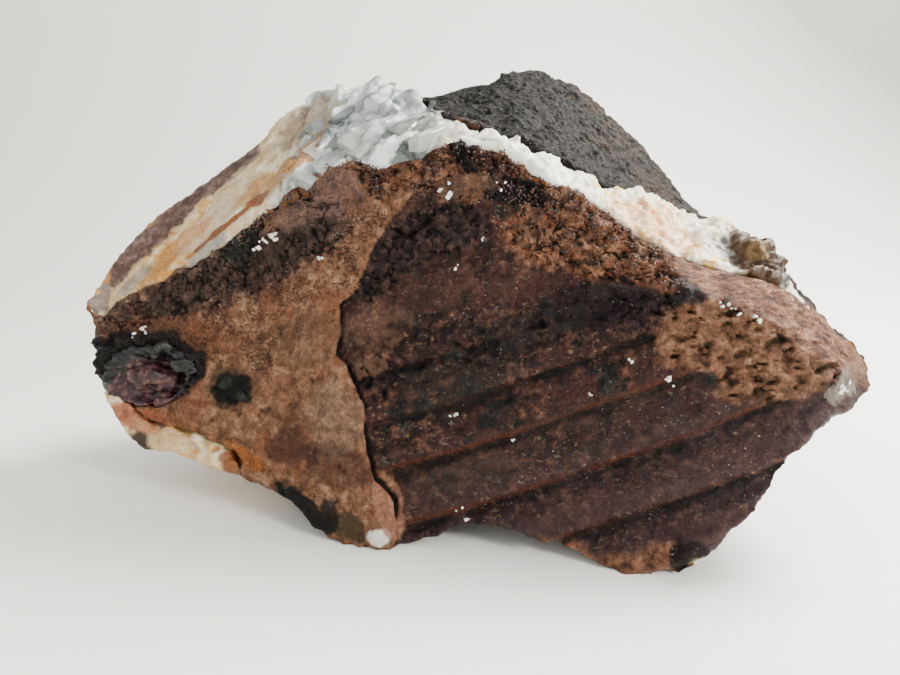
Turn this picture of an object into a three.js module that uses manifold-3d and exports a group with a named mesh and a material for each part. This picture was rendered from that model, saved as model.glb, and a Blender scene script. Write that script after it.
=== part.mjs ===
// A rough quartz and calcite geode, broken out of volcanic rock, in millimetres.
//
// The stone lies as it was found. A dark, fluted face leans back from the viewer, who is at -Y, and a
// pale slab of the same rock overlaps it on the left. A vein of calcite and quartz comes out along the
// top, between that front and the grey hump of basalt behind, and again under the left end, where a
// pocket of dark crystals opens. X runs from the left tip to the right one, and Z is up. The stone
// rests on three spots at z = 0. The origin is under the middle of its box.

import * as THREE from "three";
import { ConvexGeometry } from "three/addons/geometries/ConvexGeometry.js";
import { LoftGeometry } from "three/addons/geometries/LoftGeometry.js";
import { ImprovedNoise } from "three/addons/math/ImprovedNoise.js";
import { mergeVertices } from "three/addons/utils/BufferGeometryUtils.js";
import Module from "manifold-3d";

const { lerp, smoothstep } = THREE.MathUtils;
const wasm = await Module();
wasm.setup();

const GOLDEN_ANGLE = 2.4; // rad, spreads points evenly over a ball

// Driving sizes
const RIM_CRYSTALS = 10; // round the pocket's mouth
const CLEARANCE = 0.3; // between two minerals that touch
const STATIONS = 38; // cross sections of the stone, from tip to tip
const SLAB_STEP = 4; // how far the pale slab stands proud of the fluted face
const FLUTE_DEPTH = 2.6; // of the grooves between two flutes
const FLUTE_RISE = 0.36; // mm that the flutes climb for each mm to the right
const LUMP_SIZE = 36; // across the largest lumps of the broken surface, whose heights follow
const FACE_ROUGHNESS = 1.8; // on the front, which broke clean
const TOP_ROUGHNESS = 4; // on the vein and the hump
const BACK_ROUGHNESS = 8; // on the broken faces at the back
const VEIN_STATIONS = 16; // cross sections of the vein's walls in the rock
const VEIN_END = 152; // where it pinches out
const VEIN_TOP = 30; // how far the vein's crystals could rise over the rim
// Quartz blocks: half sizes, how deep each one's middle is under the surface, and their places
const BLOCKS = { half: [12, 6.5, 5], sunk: 2, from: -68, pitch: 12, columns: 6, rows: 4 };
// The pocket: its middle, its half sizes and the thickness of its crust
const POCKET = { centre: [-144, -10, 61], half: [32, 13, 15.5], wall: 2.5 };
const LUMP = { centre: [-142, -6, 57], half: [15, 6, 8] }; // of glossy mineral, in the pocket's floor

// The stone's edges and ridges. Each line runs from the left tip to the right one, and the lines are in
// order round the stone: up the front, over the vein and the hump, down the back and under.
const SILL = [
  [-163, -4, 42], [-150, -13, 25], [-127, -21, 27], [-111, -28, 23], [-84, -38, 20], [-70, -44, 14],
  [-59, -51, 7], [-47, -56, -1], [-29, -61, -1], [-12, -64, 2], [0, -65, 9], [11, -66, 13], [28, -70, 12],
  [42, -74, 7], [55, -78, 2], [72, -82, -1], [92, -86, -1], [97, -86, 4], [100, -84, 13], [118, -83, 30],
  [132, -80, 49], [141, -77, 60], [157, -67, 64], [165, -60, 68],
];
const CHEEK = [
  [-177, 3, 60], [-140, -8, 66], [-110, -15, 70], [-80, -24, 78], [-45, -36, 80], [0, -43, 86],
  [50, -57, 70], [95, -70, 60], [125, -75, 63], [150, -71, 69], [169, -56, 70],
];
const BROW = [
  [-176, 7, 72], [-145, 1, 82], [-110, -9, 94], [-60, -20, 122], [0, -28, 134], [40, -40, 122],
  [77, -50, 113], [94, -57, 107], [106, -59, 104], [119, -64, 99], [134, -68, 88], [150, -66, 80],
  [170, -54, 74],
];
const RIDGE = [
  [-175, 11, 82], [-150, 8, 97], [-126, 4, 110], [-97, -3, 127], [-68, -6, 150], [-40, -10, 160],
  [-15, -14, 163], [13, -18, 174], [25, -24, 163], [50, -31, 148], [63, -32, 142], [75, -35, 133],
  [96, -40, 118], [112, -44, 115], [129, -48, 112], [141, -51, 104], [153, -53, 90], [170, -51, 77],
];
const CREST = [
  [-180, 8, 93], [-172, 25, 111], [-156, 35, 132], [-142, 42, 141], [-129, 45, 151], [-111, 45, 163],
  [-98, 45, 171], [-89, 45, 182], [-74, 42, 190], [-58, 38, 197], [-36, 30, 199], [-15, 28, 193],
  [-7, 15, 183], [9, -2, 177], [25, -10, 169], [40, -14, 160], [51, -10, 160], [61, -18, 149],
  [75, -10, 145], [91, 2, 146], [110, 12, 138], [127, 0, 132], [141, -10, 125], [154, -25, 103],
  [171, -47, 79],
];
const SADDLE = [
  [-180, 14, 92], [-168, 38, 108], [-150, 50, 126], [-125, 58, 144], [-98, 58, 162], [-74, 56, 180],
  [-50, 50, 188], [-24, 44, 190], [-5, 38, 188], [12, 22, 184], [30, 12, 180], [50, 10, 172],
  [70, 14, 160], [95, 22, 148], [118, 24, 138], [140, 4, 120], [156, -18, 100], [172, -43, 78],
];
const HUMP = [
  [-178, 25, 88], [-160, 55, 104], [-130, 72, 124], [-100, 76, 146], [-70, 72, 170], [-40, 66, 186],
  [-5, 56, 197], [16, 65, 203], [36, 82, 213], [51, 88, 214], [74, 85, 205], [89, 80, 190],
  [106, 72, 172], [120, 62, 153], [127, 50, 138], [140, 38, 120], [155, 5, 98], [171, -39, 77],
];
const SHOULDER = [
  [-175, 35, 80], [-150, 75, 92], [-110, 95, 112], [-60, 98, 150], [-20, 90, 172], [10, 95, 185],
  [40, 108, 192], [70, 110, 182], [100, 100, 150], [130, 72, 120], [VEIN_END, 30, 92], [170, -35, 75],
];
const BACK = [
  [-172, 38, 66], [-145, 82, 70], [-100, 108, 78], [-50, 114, 90], [0, 112, 110], [45, 120, 112],
  [85, 114, 96], [120, 88, 80], [150, 35, 72], [169, -35, 71],
];
const BACK_SILL = [
  [-168, 30, 52], [-135, 72, 36], [-95, 92, 22], [-60, 98, 2], [-40, 98, -2], [10, 100, -2],
  [30, 98, 3], [70, 92, 18], [110, 66, 34], [145, 20, 52], [168, -39, 68],
];
const REAR_FOOT = [
  [-166, 22, 48], [-130, 50, 30], [-90, 64, 16], [-58, 70, 1], [-40, 70, -2], [8, 72, -2],
  [30, 68, 4], [70, 55, 16], [110, 35, 30], [145, -5, 50], [167, -45, 66],
];
const BELLY = [
  [-165, 12, 44], [-125, 20, 26], [-80, 15, 14], [-40, 8, 8], [0, 2, 12], [40, -6, 14],
  [80, -20, 10], [110, -25, 26], [145, -30, 54], [166, -50, 66],
];
const FRONT_FEET = [
  [-164, 2, 42], [-140, -4, 26], [-110, -14, 20], [-75, -26, 13], [-52, -36, -1], [-15, -42, -2],
  [0, -46, 8], [28, -50, 12], [55, -54, 6], [68, -58, -2], [96, -62, -2], [104, -64, 12],
  [124, -66, 36], [145, -66, 58], [165, -56, 67],
];
// Each line, with the number of strips from it to the next one
const STONE = [
  [SILL, 9], [CHEEK, 6], [BROW, 3], [RIDGE, 5], [CREST, 1], [SADDLE, 3], [HUMP, 2], [SHOULDER, 3],
  [BACK, 3], [BACK_SILL, 1], [REAR_FOOT, 2], [BELLY, 2], [FRONT_FEET, 1],
];

// The vein's two walls in the rock: down behind the front, out under the left end, and up again
const VEIN_FRONT_MIDDLE = [
  [-192, 24, 60], [-150, 13, 64], [-110, 4, 68], [-60, -10, 80], [-10, -4, 104], [40, -12, 122],
  [90, -26, 116], [125, -38, 105], [VEIN_END, -47, 94],
];
const VEIN_LIP = [
  [-185, -6, 56], [-163, -10, 53], [-150, -20, 37], [-127, -28, 37], [-111, -34, 32], [-97, -40, 28],
  [-86, -46, 14], [-72, -14, 22], [-60, 0, 42], [-10, 4, 84], [40, -6, 112], [90, -18, 112],
  [125, -34, 103], [VEIN_END, -45, 92],
];
const VEIN_FRONT_LOW = [
  [-188, 18, 46], [-150, 8, 42], [-127, 2, 42], [-111, -6, 38], [-97, -14, 34], [-86, -22, 24],
  [-72, -10, 32], [-60, 0, 50], [-10, 2, 88], [40, -6, 114], [90, -20, 113], [125, -35, 104],
  [VEIN_END, -46, 93],
];
const VEIN_FLOOR = [
  [-185, 2, 20], [-150, -16, 0], [-111, -28, -8], [-90, -20, -6], [-72, -2, 14], [-60, 8, 40],
  [-10, 10, 84], [40, 0, 112], [90, -12, 112], [125, -28, 103], [VEIN_END, -43, 92],
];
const VEIN_BACK_LOW = [
  [-188, 30, 20], [-150, 14, 8], [-111, 6, 0], [-90, 6, 2], [-72, 12, 22], [-60, 18, 48],
  [-10, 18, 92], [40, 6, 118], [90, -4, 118], [125, -22, 108], [VEIN_END, -40, 94],
];
const VEIN_BACK_MIDDLE = [
  [-192, 42, 50], [-150, 40, 72], [-110, 36, 80], [-60, 26, 98], [-10, 22, 124], [40, 4, 138],
  [90, 0, 130], [125, -14, 116], [VEIN_END, -38, 98],
];
const VEIN_BACK = [
  [-190, 16, 92], [-168, 36, 108], [-150, 46, 126], [-125, 55, 144], [-98, 56, 162], [-74, 54, 180],
  [-50, 46, 188], [-30, 36, 192], [-15, 30, 193], [-7, 17, 183], [9, -1, 177], [25, -8, 169],
  [40, -12, 160], [51, -8, 161], [61, -15, 149], [75, -7, 145], [91, 6, 146], [110, 13, 138],
  [127, 0, 132], [141, -18, 118], [VEIN_END, -36, 102],
];
// At the surface its front follows the rim, but runs on past the left tip and pinches out at the right
const VEIN_FRONT = [[-192, 11, 81], ...RIDGE.slice(1, -3), [141, -45, 106], [VEIN_END, -42, 98]];
const VEIN = [
  [VEIN_LIP, 1], [VEIN_FRONT_LOW, 1], [VEIN_FRONT_MIDDLE, 2], [VEIN_FRONT, 1],
  [raised(VEIN_FRONT, -6), 2], [raised(VEIN_BACK, 6), 1], [VEIN_BACK, 2], [VEIN_BACK_MIDDLE, 2],
  [VEIN_BACK_LOW, 1], [VEIN_FLOOR, 1],
];

// Heights, at x = 0, of the grooves between the flutes
const GROOVES = [-58, -32, -8, 14, 36, 56, 74, 96, 118, 146];
// Outline of the pale slab, in X and Z
const SLAB_OUTLINE = [
  [-23, -12], [-23, 11], [-24, 19], [-32, 27], [-35, 38], [-36, 57], [-43, 67], [-49, 76], [-47, 89],
  [-48, 98], [-38, 106], [-35, 116], [-27, 130], [-34, 160], [-60, 166], [-90, 150], [-120, 122],
  [-150, 106], [-190, 90], [-190, -12],
];
// Pits in the right-hand band: X, Z and width
const PITS = [
  [113, 91, 9], [113, 85, 10], [125, 90, 13], [130, 86, 9], [101, 88, 10], [118, 94, 7], [111, 79, 7],
  [117, 80, 8], [125, 75, 7], [110, 73, 7], [142, 78, 8], [97, 79, 7], [98, 66, 9], [105, 74, 6],
  [125, 67, 9], [134, 80, 6],
];
// Knobs on the rock, the first one a white bead: a centre and a radius
const KNOBS = [
  [[-30, -60, 7], 6], [[93, -81, 9], 8], [[-56, -49, 9], 7], [[-45, -52, 8], 8], [[-126, -5, 72], 6],
];
// Ochre nodule at the vein's right end: centres and radii
const NODULE = [
  [[126, -32, 120], 5], [[132, -33, 118], 6], [[138, -33, 115], 5], [[135, -27, 121], 6],
  [[129, -26, 122], 4.5], [[141, -29, 112], 4.5],
];
// Broken faces at the back: where each one looks, and how much is off the corner there
const BREAKS = [
  [[0.66, 0.72, 0.2], 12], [[-0.1, 0.98, 0.16], 7], [[-0.6, 0.78, 0.16], 12], [[-0.42, 0.8, -0.42], 13],
  [[0.34, 0.85, -0.4], 12], [[0.84, 0.52, -0.15], 10], [[-0.3, 0.5, -0.81], 9], [[0.5, 0.35, -0.79], 10],
  [[0.22, 0.96, -0.14], 8],
];

const noise = new ImprovedNoise();

/** The line moved up to where nothing of the vein reaches, and a little along Y. */
function raised(line, alongY) {
  return line.map(([x, y, z]) => [x, y + alongY, z + VEIN_TOP]);
}

/** Noise in octaves, about -1 to 1, whose largest lumps are `size` across. */
function lumps(x, y, z, size, octaves = 3) {
  let sum = 0;
  for (let octave = 0, weight = 0.55, scale = 1 / size; octave < octaves; octave++) {
    sum += weight * noise.noise(x * scale + 7.3, y * scale + 3.1, z * scale + 5.7);
    weight *= 0.5;
    scale *= 2.1;
  }
  return sum;
}

let seed = 11;

/** A pseudo-random number from -1 to 1, from a series that is the same on each run. */
function jitter() {
  seed = (seed * 1664525 + 1013904223) % 4294967296;
  return seed / 2147483648 - 1;
}

/** The point of a line that runs from left to right, at a given X. */
function pointAt(line, x) {
  const next = Math.max(1, line.findIndex((corner) => corner[0] >= x - 1e-6));
  const before = new THREE.Vector3(...line[next - 1]);
  const after = new THREE.Vector3(...line[next]);
  return before.lerp(after, (x - before.x) / (after.x - before.x));
}

/** The point of a line at a share of its reach along X. */
function pointAlong(line, share) {
  return pointAt(line, lerp(line[0][0], line.at(-1)[0], share));
}

/** The mean of some points. */
function middleOf(points) {
  const sum = new THREE.Vector3();
  for (const point of points) sum.add(point);
  return sum.divideScalar(points.length);
}

/** The geometry with its shared corners merged, without collapsed triangles and with positions only. */
function weld(geometry) {
  const plain = new THREE.BufferGeometry();
  plain.setAttribute("position", geometry.attributes.position.clone());
  if (geometry.index) plain.setIndex(geometry.index.clone());
  const merged = mergeVertices(plain, 1e-3);
  const corners = merged.index.array;
  const kept = [];
  for (let i = 0; i < corners.length; i += 3) {
    const triangle = [...corners.slice(i, i + 3)];
    if (new Set(triangle).size === 3) kept.push(...triangle);
  }
  merged.setIndex(kept);
  return merged;
}

/** A closed skin through lines that all run from left to right, in order round the body. */
function skin(lines, stations) {
  const sections = [];
  // From the right end to the left one, so that the skin faces outwards
  for (let station = stations; station >= 0; station--) {
    const section = [];
    lines.forEach(([line, strips], index) => {
      const here = pointAlong(line, station / stations);
      const there = pointAlong(lines[(index + 1) % lines.length][0], station / stations);
      for (let strip = 0; strip < strips; strip++) {
        section.push(here.clone().lerp(there, strip / strips));
      }
    });
    sections.push(section);
  }
  // Both ends close on their middle
  const first = middleOf(sections[0]);
  const last = middleOf(sections.at(-1));
  const closed = [sections[0].map(() => first), ...sections, sections[0].map(() => last)];
  return weld(new LoftGeometry(closed));
}

/** Moves each corner along its normal by what `height` gives for its place and normal. */
function relieve(geometry, height) {
  geometry.computeVertexNormals();
  const { position, normal } = geometry.attributes;
  const place = new THREE.Vector3();
  const out = new THREE.Vector3();
  for (let i = 0; i < position.count; i++) {
    place.fromBufferAttribute(position, i);
    out.fromBufferAttribute(normal, i);
    place.addScaledVector(out, height(place, out));
    position.setXYZ(i, place.x, place.y, place.z);
  }
  geometry.deleteAttribute("normal");
  return geometry;
}

/** A closed geometry as a solid that can be cut and joined. */
function solidOf(geometry) {
  const welded = weld(geometry);
  return new wasm.Manifold(new wasm.Mesh({
    numProp: 3,
    vertProperties: new Float32Array(welded.attributes.position.array),
    triVerts: new Uint32Array(welded.index.array),
  }));
}

/** The largest of a solid's separate pieces, without the crumbs and bubbles that a cut left. */
function mainPiece(solid) {
  return solid.decompose().reduce((main, piece) => (piece.volume() > main.volume() ? piece : main));
}

/** A solid's faces as a geometry. */
function geometryOf(solid) {
  const { vertProperties, triVerts, numProp } = solid.getMesh();
  const corners = [];
  for (let i = 0; i < vertProperties.length; i += numProp) corners.push(...vertProperties.slice(i, i + 3));
  const geometry = new THREE.BufferGeometry();
  geometry.setAttribute("position", new THREE.Float32BufferAttribute(corners, 3));
  geometry.setIndex([...triVerts]);
  return geometry;
}

/** An upright prism of an outline given in X and Z, from one Y to another. */
function frontPrism(outline, yFront, yBack) {
  const shape = new THREE.Shape(outline.map(([x, z]) => new THREE.Vector2(x, z)));
  const prism = new THREE.ExtrudeGeometry(shape, { depth: yBack - yFront, bevelEnabled: false });
  return prism.rotateX(Math.PI / 2).translate(0, yBack, 0);
}

/** An ellipsoid of flat faces. */
function ellipsoid(centre, half, detail) {
  return new THREE.IcosahedronGeometry(1, detail).scale(...half).translate(...centre);
}

/** An irregular block of flat faces: the hull of random points on an ellipsoid. */
function block(half, corners = 10) {
  const points = [];
  for (let i = 0; i < corners; i++) {
    const up = 1 - (2 * (i + 0.5)) / corners;
    const turn = i * GOLDEN_ANGLE + jitter() * 0.55;
    const across = Math.sqrt(1 - up * up);
    const point = new THREE.Vector3(up, across * Math.cos(turn), across * Math.sin(turn));
    points.push(point.multiplyScalar(1 + jitter() * 0.15).multiply(new THREE.Vector3(...half)));
  }
  return new ConvexGeometry(points);
}

/** A rounded knob of flat faces. */
function knob(centre, radius) {
  return block([radius, radius, radius], 14).translate(...centre);
}

/** The pocket's form, drawn in on all sides by a distance. */
function bowl(inset) {
  return ellipsoid(POCKET.centre, POCKET.half.map((half) => half - inset), 2);
}

/** How far a point of the face stands back between two flutes: 0 on a flute's back, 1 in a groove. */
function groove(x, z) {
  const height = z - FLUTE_RISE * x;
  const above = GROOVES.findIndex((level) => level > height);
  if (above < 1) return 0;
  const share = (height - GROOVES[above - 1]) / (GROOVES[above] - GROOVES[above - 1]);
  // Steep under each crest and long above it
  return share < 0.3 ? 1 - share / 0.3 : ((share - 0.3) / 0.7) ** 2;
}

/** The relief of the stone's broken surface: rough lumps, and the flutes on the front. */
function stoneRelief(place, out) {
  const front = smoothstep(-out.y, 0.55, 0.85);
  const back = smoothstep(out.y, 0.3, 0.8);
  const rough = lerp(lerp(TOP_ROUGHNESS, FACE_ROUGHNESS, front), BACK_ROUGHNESS, back);
  const aboveGround = smoothstep(place.z, 2, 14);
  const lumpy = rough * aboveGround * lumps(place.x, place.y, place.z, LUMP_SIZE);
  // The flutes stop at the slab and under the rim, which comes down to the right
  const flutesTop = lerp(150, 84, Math.max(0, place.x) / 150);
  const fluted = front * smoothstep(place.x, -50, -36) * smoothstep(flutesTop - place.z, 0, 14);
  return lumpy - fluted * FLUTE_DEPTH * groove(place.x, place.z);
}

/** A big box, one side of which lies through a point and looks along a direction, to cut off what is out. */
function beyond(point, direction) {
  const cutter = new THREE.BoxGeometry(400, 400, 100).translate(0, 0, 50);
  const turn = new THREE.Quaternion().setFromUnitVectors(
    new THREE.Vector3(0, 0, 1), new THREE.Vector3(...direction).normalize(),
  );
  return cutter.applyQuaternion(turn).translate(...point);
}

/** The point `depth` short of a solid's outermost corner in a direction. */
function inFromCorner(solid, direction, depth) {
  const looks = new THREE.Vector3(...direction).normalize();
  const { position } = geometryOf(solid).attributes;
  const reaches = Array.from({ length: position.count }, (_, i) => (
    new THREE.Vector3().fromBufferAttribute(position, i).dot(looks)));
  return looks.multiplyScalar(Math.max(...reaches) - depth).toArray();
}

// The stone as a whole
const body = solidOf(relieve(skin(STONE, STATIONS), stoneRelief));
const slab = body.translate([0, -SLAB_STEP, 0]).intersect(solidOf(frontPrism(SLAB_OUTLINE, -120, 8)));
let stone = body.add(slab);
for (const [centre, radius] of KNOBS) {
  stone = stone.add(solidOf(knob(centre, radius)));
}
for (const [direction, depth] of BREAKS) {
  const edge = inFromCorner(stone, direction, depth);
  stone = stone.subtract(solidOf(beyond(edge, direction)));
}
stone = stone.subtract(solidOf(beyond([0, 0, 0], [0, 0, -1])));

const skinned = new THREE.Mesh(geometryOf(stone), new THREE.MeshBasicMaterial());

/** The first point of the stone on the way from a point along a direction. */
function firstHit(from, direction) {
  const ray = new THREE.Raycaster(new THREE.Vector3(...from), new THREE.Vector3(...direction));
  return ray.intersectObject(skinned)[0].point;
}

// Quartz blocks, side by side over the widest part of the vein, climbing it the same way
let vein = stone;
for (let column = 0; column < BLOCKS.columns; column++) {
  for (let row = 0; row < BLOCKS.rows; row++) {
    const x = BLOCKS.from + column * BLOCKS.pitch + jitter() * 3.5;
    const share = (row + 0.5 + jitter() * 0.25) / BLOCKS.rows;
    const { y } = pointAt(RIDGE, x).lerp(pointAt(CREST, x), share);
    const place = firstHit([x, y, 400], [0, 0, -1]);
    const size = 1 + jitter() * 0.25;
    const outward = new THREE.Vector3(jitter() * 0.3, -0.68 + jitter() * 0.2, 0.73).normalize();
    const climb = new THREE.Vector3(0.55, 0.6 + jitter() * 0.2, 0.58).projectOnPlane(outward).normalize();
    const turn = new THREE.Matrix4().makeBasis(climb, outward.clone().cross(climb), outward);
    const sunk = place.addScaledVector(outward, -BLOCKS.sunk);
    const piece = block(BLOCKS.half.map((half) => half * size));
    vein = vein.add(solidOf(piece.applyMatrix4(turn.setPosition(sunk))));
  }
}
for (const [centre, radius] of NODULE) {
  vein = vein.add(solidOf(knob(centre, radius)));
}
vein = vein.intersect(solidOf(skin(VEIN, VEIN_STATIONS))).subtract(solidOf(bowl(0)));
// Its thin end stays short of the end of its room in the rock
vein = mainPiece(vein.subtract(solidOf(beyond([VEIN_END - 2 * CLEARANCE, 0, 0], [1, 0, 0]))));

// The rock round the vein, with the pocket and the pits
const veinRoom = solidOf(relieve(skin(VEIN, VEIN_STATIONS), () => CLEARANCE));
let rock = stone.subtract(veinRoom).subtract(solidOf(bowl(0)));
for (const [x, z, width] of PITS) {
  const place = firstHit([x, -200, z], [0, 1, 0]);
  const pit = block([width / 2, 3.2, width / 4.5]).rotateY(-0.25).translate(...place.toArray());
  rock = rock.subtract(solidOf(pit));
}
rock = mainPiece(rock);

// The pocket's crust, with crystals round its mouth and a larger lump in its floor
const hollow = ellipsoid(
  [POCKET.centre[0], POCKET.centre[1] - 2, POCKET.centre[2]],
  POCKET.half.map((half) => half - POCKET.wall - CLEARANCE), 2,
);
let crust = stone.intersect(solidOf(bowl(CLEARANCE))).subtract(solidOf(hollow));
for (let i = 0; i < RIM_CRYSTALS; i++) {
  const turn = (i / RIM_CRYSTALS) * Math.PI * 2;
  const x = POCKET.centre[0] + 24 * Math.cos(turn) + jitter() * 2.5;
  const z = POCKET.centre[2] + 9.5 * Math.sin(turn) + jitter() * 1.5;
  const { y } = firstHit([x, -200, z], [0, 1, 0]);
  const size = 4.2 + jitter() * 1.2;
  crust = crust.add(solidOf(block([size * 1.3, size, size]).translate(x, y + 4.5, z)));
}
const lump = block(LUMP.half, 20).rotateY(0.3).translate(...LUMP.centre);
crust = mainPiece(crust.add(solidOf(lump)).intersect(solidOf(bowl(CLEARANCE))));

/** A named mesh of one mineral. */
function mineral(name, solid, color, roughness) {
  const mesh = new THREE.Mesh(
    geometryOf(solid),
    new THREE.MeshStandardMaterial({ color, roughness, metalness: 0 }),
  );
  mesh.name = name;
  return mesh;
}

const geode = new THREE.Group();
geode.name = "geode";
geode.add(
  mineral("host_rock", rock, 0x5a3d33, 0.85),
  mineral("quartz_calcite_vein", vein, 0xd6cdba, 0.35),
  mineral("pocket_crystals", crust, 0x1d1a1b, 0.3),
);

// The origin goes under the middle of the box
const box = new THREE.Box3().setFromObject(geode);
const middle = box.getCenter(new THREE.Vector3());
geode.position.set(-middle.x, -middle.y, -box.min.z);

export default geode;
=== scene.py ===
"""A rough geode: dark fluted basalt, a vein of quartz and calcite, and a pocket of dark crystals."""

import logging
import math
from collections.abc import Callable
from dataclasses import dataclass, field
from enum import Enum

import bpy
import numpy as np
from mathutils import Euler, Matrix, Vector
from mathutils.bvhtree import BVHTree


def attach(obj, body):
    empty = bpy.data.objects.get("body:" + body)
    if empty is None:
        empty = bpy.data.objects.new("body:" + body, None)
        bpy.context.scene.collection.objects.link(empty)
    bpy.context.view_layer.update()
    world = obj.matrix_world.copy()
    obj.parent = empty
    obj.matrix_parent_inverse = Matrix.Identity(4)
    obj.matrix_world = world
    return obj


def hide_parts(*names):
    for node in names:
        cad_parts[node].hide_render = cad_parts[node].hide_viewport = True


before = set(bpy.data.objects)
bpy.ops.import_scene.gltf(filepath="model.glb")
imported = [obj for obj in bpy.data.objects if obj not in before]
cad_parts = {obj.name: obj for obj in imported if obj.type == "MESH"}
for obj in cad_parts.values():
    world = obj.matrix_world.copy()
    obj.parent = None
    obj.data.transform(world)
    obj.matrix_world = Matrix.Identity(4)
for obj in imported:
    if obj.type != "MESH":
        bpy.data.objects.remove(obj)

log = logging.getLogger("geode")

Socket = bpy.types.NodeSocket

MM = 0.001  # metres in a millimetre
FLAT_BELOW = 0.6  # points lower than this, in millimetres, lie on the ground

# The stone's lines as seen in its frame, in millimetres, from the left tip to the right one
RIM = [
    (-181, -3, 82), (-146, -6, 97), (-122, -10, 110), (-93, -17, 127), (-64, -20, 150), (-36, -24, 160),
    (-11, -28, 163), (17, -32, 174), (29, -38, 163), (54, -45, 148), (67, -46, 142), (79, -49, 133),
    (100, -54, 118), (116, -58, 115), (133, -62, 112), (145, -65, 104), (157, -67, 90), (176, -65, 77),
]
CREST = [
    (-181, -6, 93), (-168, 11, 111), (-152, 21, 132), (-138, 28, 141), (-125, 31, 151), (-107, 31, 163),
    (-94, 31, 171), (-85, 31, 182), (-70, 28, 190), (-54, 24, 197), (-32, 16, 199), (-11, 14, 193),
    (-3, 1, 183), (13, -16, 177), (29, -24, 169), (44, -28, 160), (55, -24, 160), (65, -32, 149),
    (79, -24, 145), (95, -12, 146), (114, -2, 138), (131, -14, 132), (145, -24, 125), (158, -39, 103),
    (176, -61, 79),
]

# Outlines of the rock's patches as seen from the front, in X and Z, in millimetres
SLAB = [
    (-19, -20), (-19, 11), (-20, 19), (-28, 27), (-31, 38), (-32, 47), (-33, 57), (-38, 67), (-45, 78),
    (-43, 89), (-44, 98), (-35, 106), (-30, 121), (-24, 131), (-16, 140), (-9, 151), (-12, 170), (-60, 170),
    (-120, 130), (-200, 95), (-200, -20),
]
DARK_TOP = [
    (-41, 100), (-35, 108), (-28, 121), (-23, 130), (-16, 136), (-5, 140), (12, 142), (21, 135), (19, 128),
    (8, 122), (-9, 116), (-22, 106), (-33, 98),
]
RUST = [
    (-14, 148), (-4, 157), (-4, 172), (6, 178), (17, 175), (25, 166), (41, 157), (54, 150), (66, 145),
    (83, 133), (92, 124), (96, 114), (91, 108), (80, 109), (68, 111), (59, 111), (49, 116), (37, 118),
    (27, 124), (23, 133), (33, 138), (25, 144), (12, 142), (2, 144),
]
FRINGE = [
    (-92, 121), (-80, 130), (-66, 138), (-52, 143), (-40, 146), (-28, 142), (-16, 148), (-9, 152), (-9, 170),
    (-36, 166), (-64, 156), (-93, 133),
]
UPPER_DARK = [
    (-172, 78), (-168, 90), (-146, 99), (-122, 113), (-98, 128), (-80, 134), (-62, 140), (-44, 142),
    (-38, 132), (-48, 121), (-62, 114), (-76, 104), (-91, 98), (-112, 89), (-134, 85), (-151, 80),
]
BAND = [
    (86, 90), (92, 101), (98, 105), (111, 103), (121, 99), (133, 91), (141, 84), (156, 78), (150, 73),
    (142, 69), (131, 67), (119, 67), (111, 68), (106, 77), (98, 79), (86, 80),
]
FACET = [
    (92, 128), (99, 122), (112, 121), (134, 118), (146, 108), (164, 92), (180, 74), (168, 73), (155, 79),
    (140, 85), (134, 92), (121, 100), (111, 105), (100, 109), (94, 116),
]
FOOT = [(40, 10), (52, 9), (58, 7), (61, 5), (74, 7), (90, 13), (101, 9), (101, -6), (40, -6)]
COAL = [
    (-178, 73), (-160, 79), (-145, 81), (-128, 83), (-117, 82), (-108, 77), (-107, 69), (-111, 61), (-118, 54),
    (-132, 47), (-155, 46), (-172, 50), (-180, 60),
]
# Outline of the purple-brown skin on the vein's left end
STRIP = [
    (-174, 101), (-165, 115), (-148, 133), (-130, 152), (-116, 163), (-98, 173), (-91, 164), (-103, 156),
    (-114, 148), (-125, 139), (-134, 129), (-143, 119), (-154, 108), (-164, 98),
]

# Heights, under the stone's middle, of the grooves between the flutes, how rusty each one's crest is, and
# how they rise to the right
GROOVES = (-58, -32, -8, 14, 38, 58, 78, 98, 118, 146)
CREST_RUST = (0.0, 0.15, 0.5, 0.85, 1.0, 0.12, 0.45, 0.15, 0.1, 0.0)
FLUTE_RISE = 0.36
FLUTE_MIDDLE = 3.8
# Pits in the right-hand band: X, Z and width
PITS = (
    (117, 91, 6), (117, 85, 7), (129, 90, 10), (134, 86, 7), (105, 88, 6), (122, 94, 5), (115, 79, 5),
    (121, 80, 6), (129, 75, 5), (114, 73, 5), (146, 78, 6), (101, 79, 5), (102, 66, 6), (109, 74, 5),
    (129, 67, 5), (138, 80, 5),
)
SMALL_PITS = 90
SMALL_PIT_WIDTHS = (2.0, 4.6)

# Smooth facets among the knobby crusts: X, Z and half sizes
CALM = ((-47, 149, 13, 7), (-66, 134, 12, 6), (-36, 140, 8, 6), (12, 149, 12, 5))

# The rust-capped peak of the rim, which stands in front of the vein, and the green spot beside the pocket: X
# and Z in millimetres
PEAK = (9, 169)
GREEN_SPOT = (-95, 59)

# Greys that darken and lighten a colour from speck to speck, with their places on the noise
GREYS = ((0.3, "#303030"), (0.7, "#d0d0d0"))
SOFT_GREYS = ((0.3, "#404040"), (0.7, "#c0c0c0"))
STRONG_GREYS = ((0.36, "#202020"), (0.64, "#d8d8d8"))


class Region(Enum):
    """A patch of the rock's front, named by the attribute that holds the distance inside it."""

    SLAB = "slab_mm"
    DARK_TOP = "dark_top_mm"
    RUST = "rust_mm"
    FRINGE = "fringe_mm"
    UPPER_DARK = "upper_dark_mm"
    BAND = "band_mm"
    FACET = "facet_mm"
    FOOT = "foot_mm"
    COAL = "coal_mm"
    BASALT = "basalt_mm"


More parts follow.
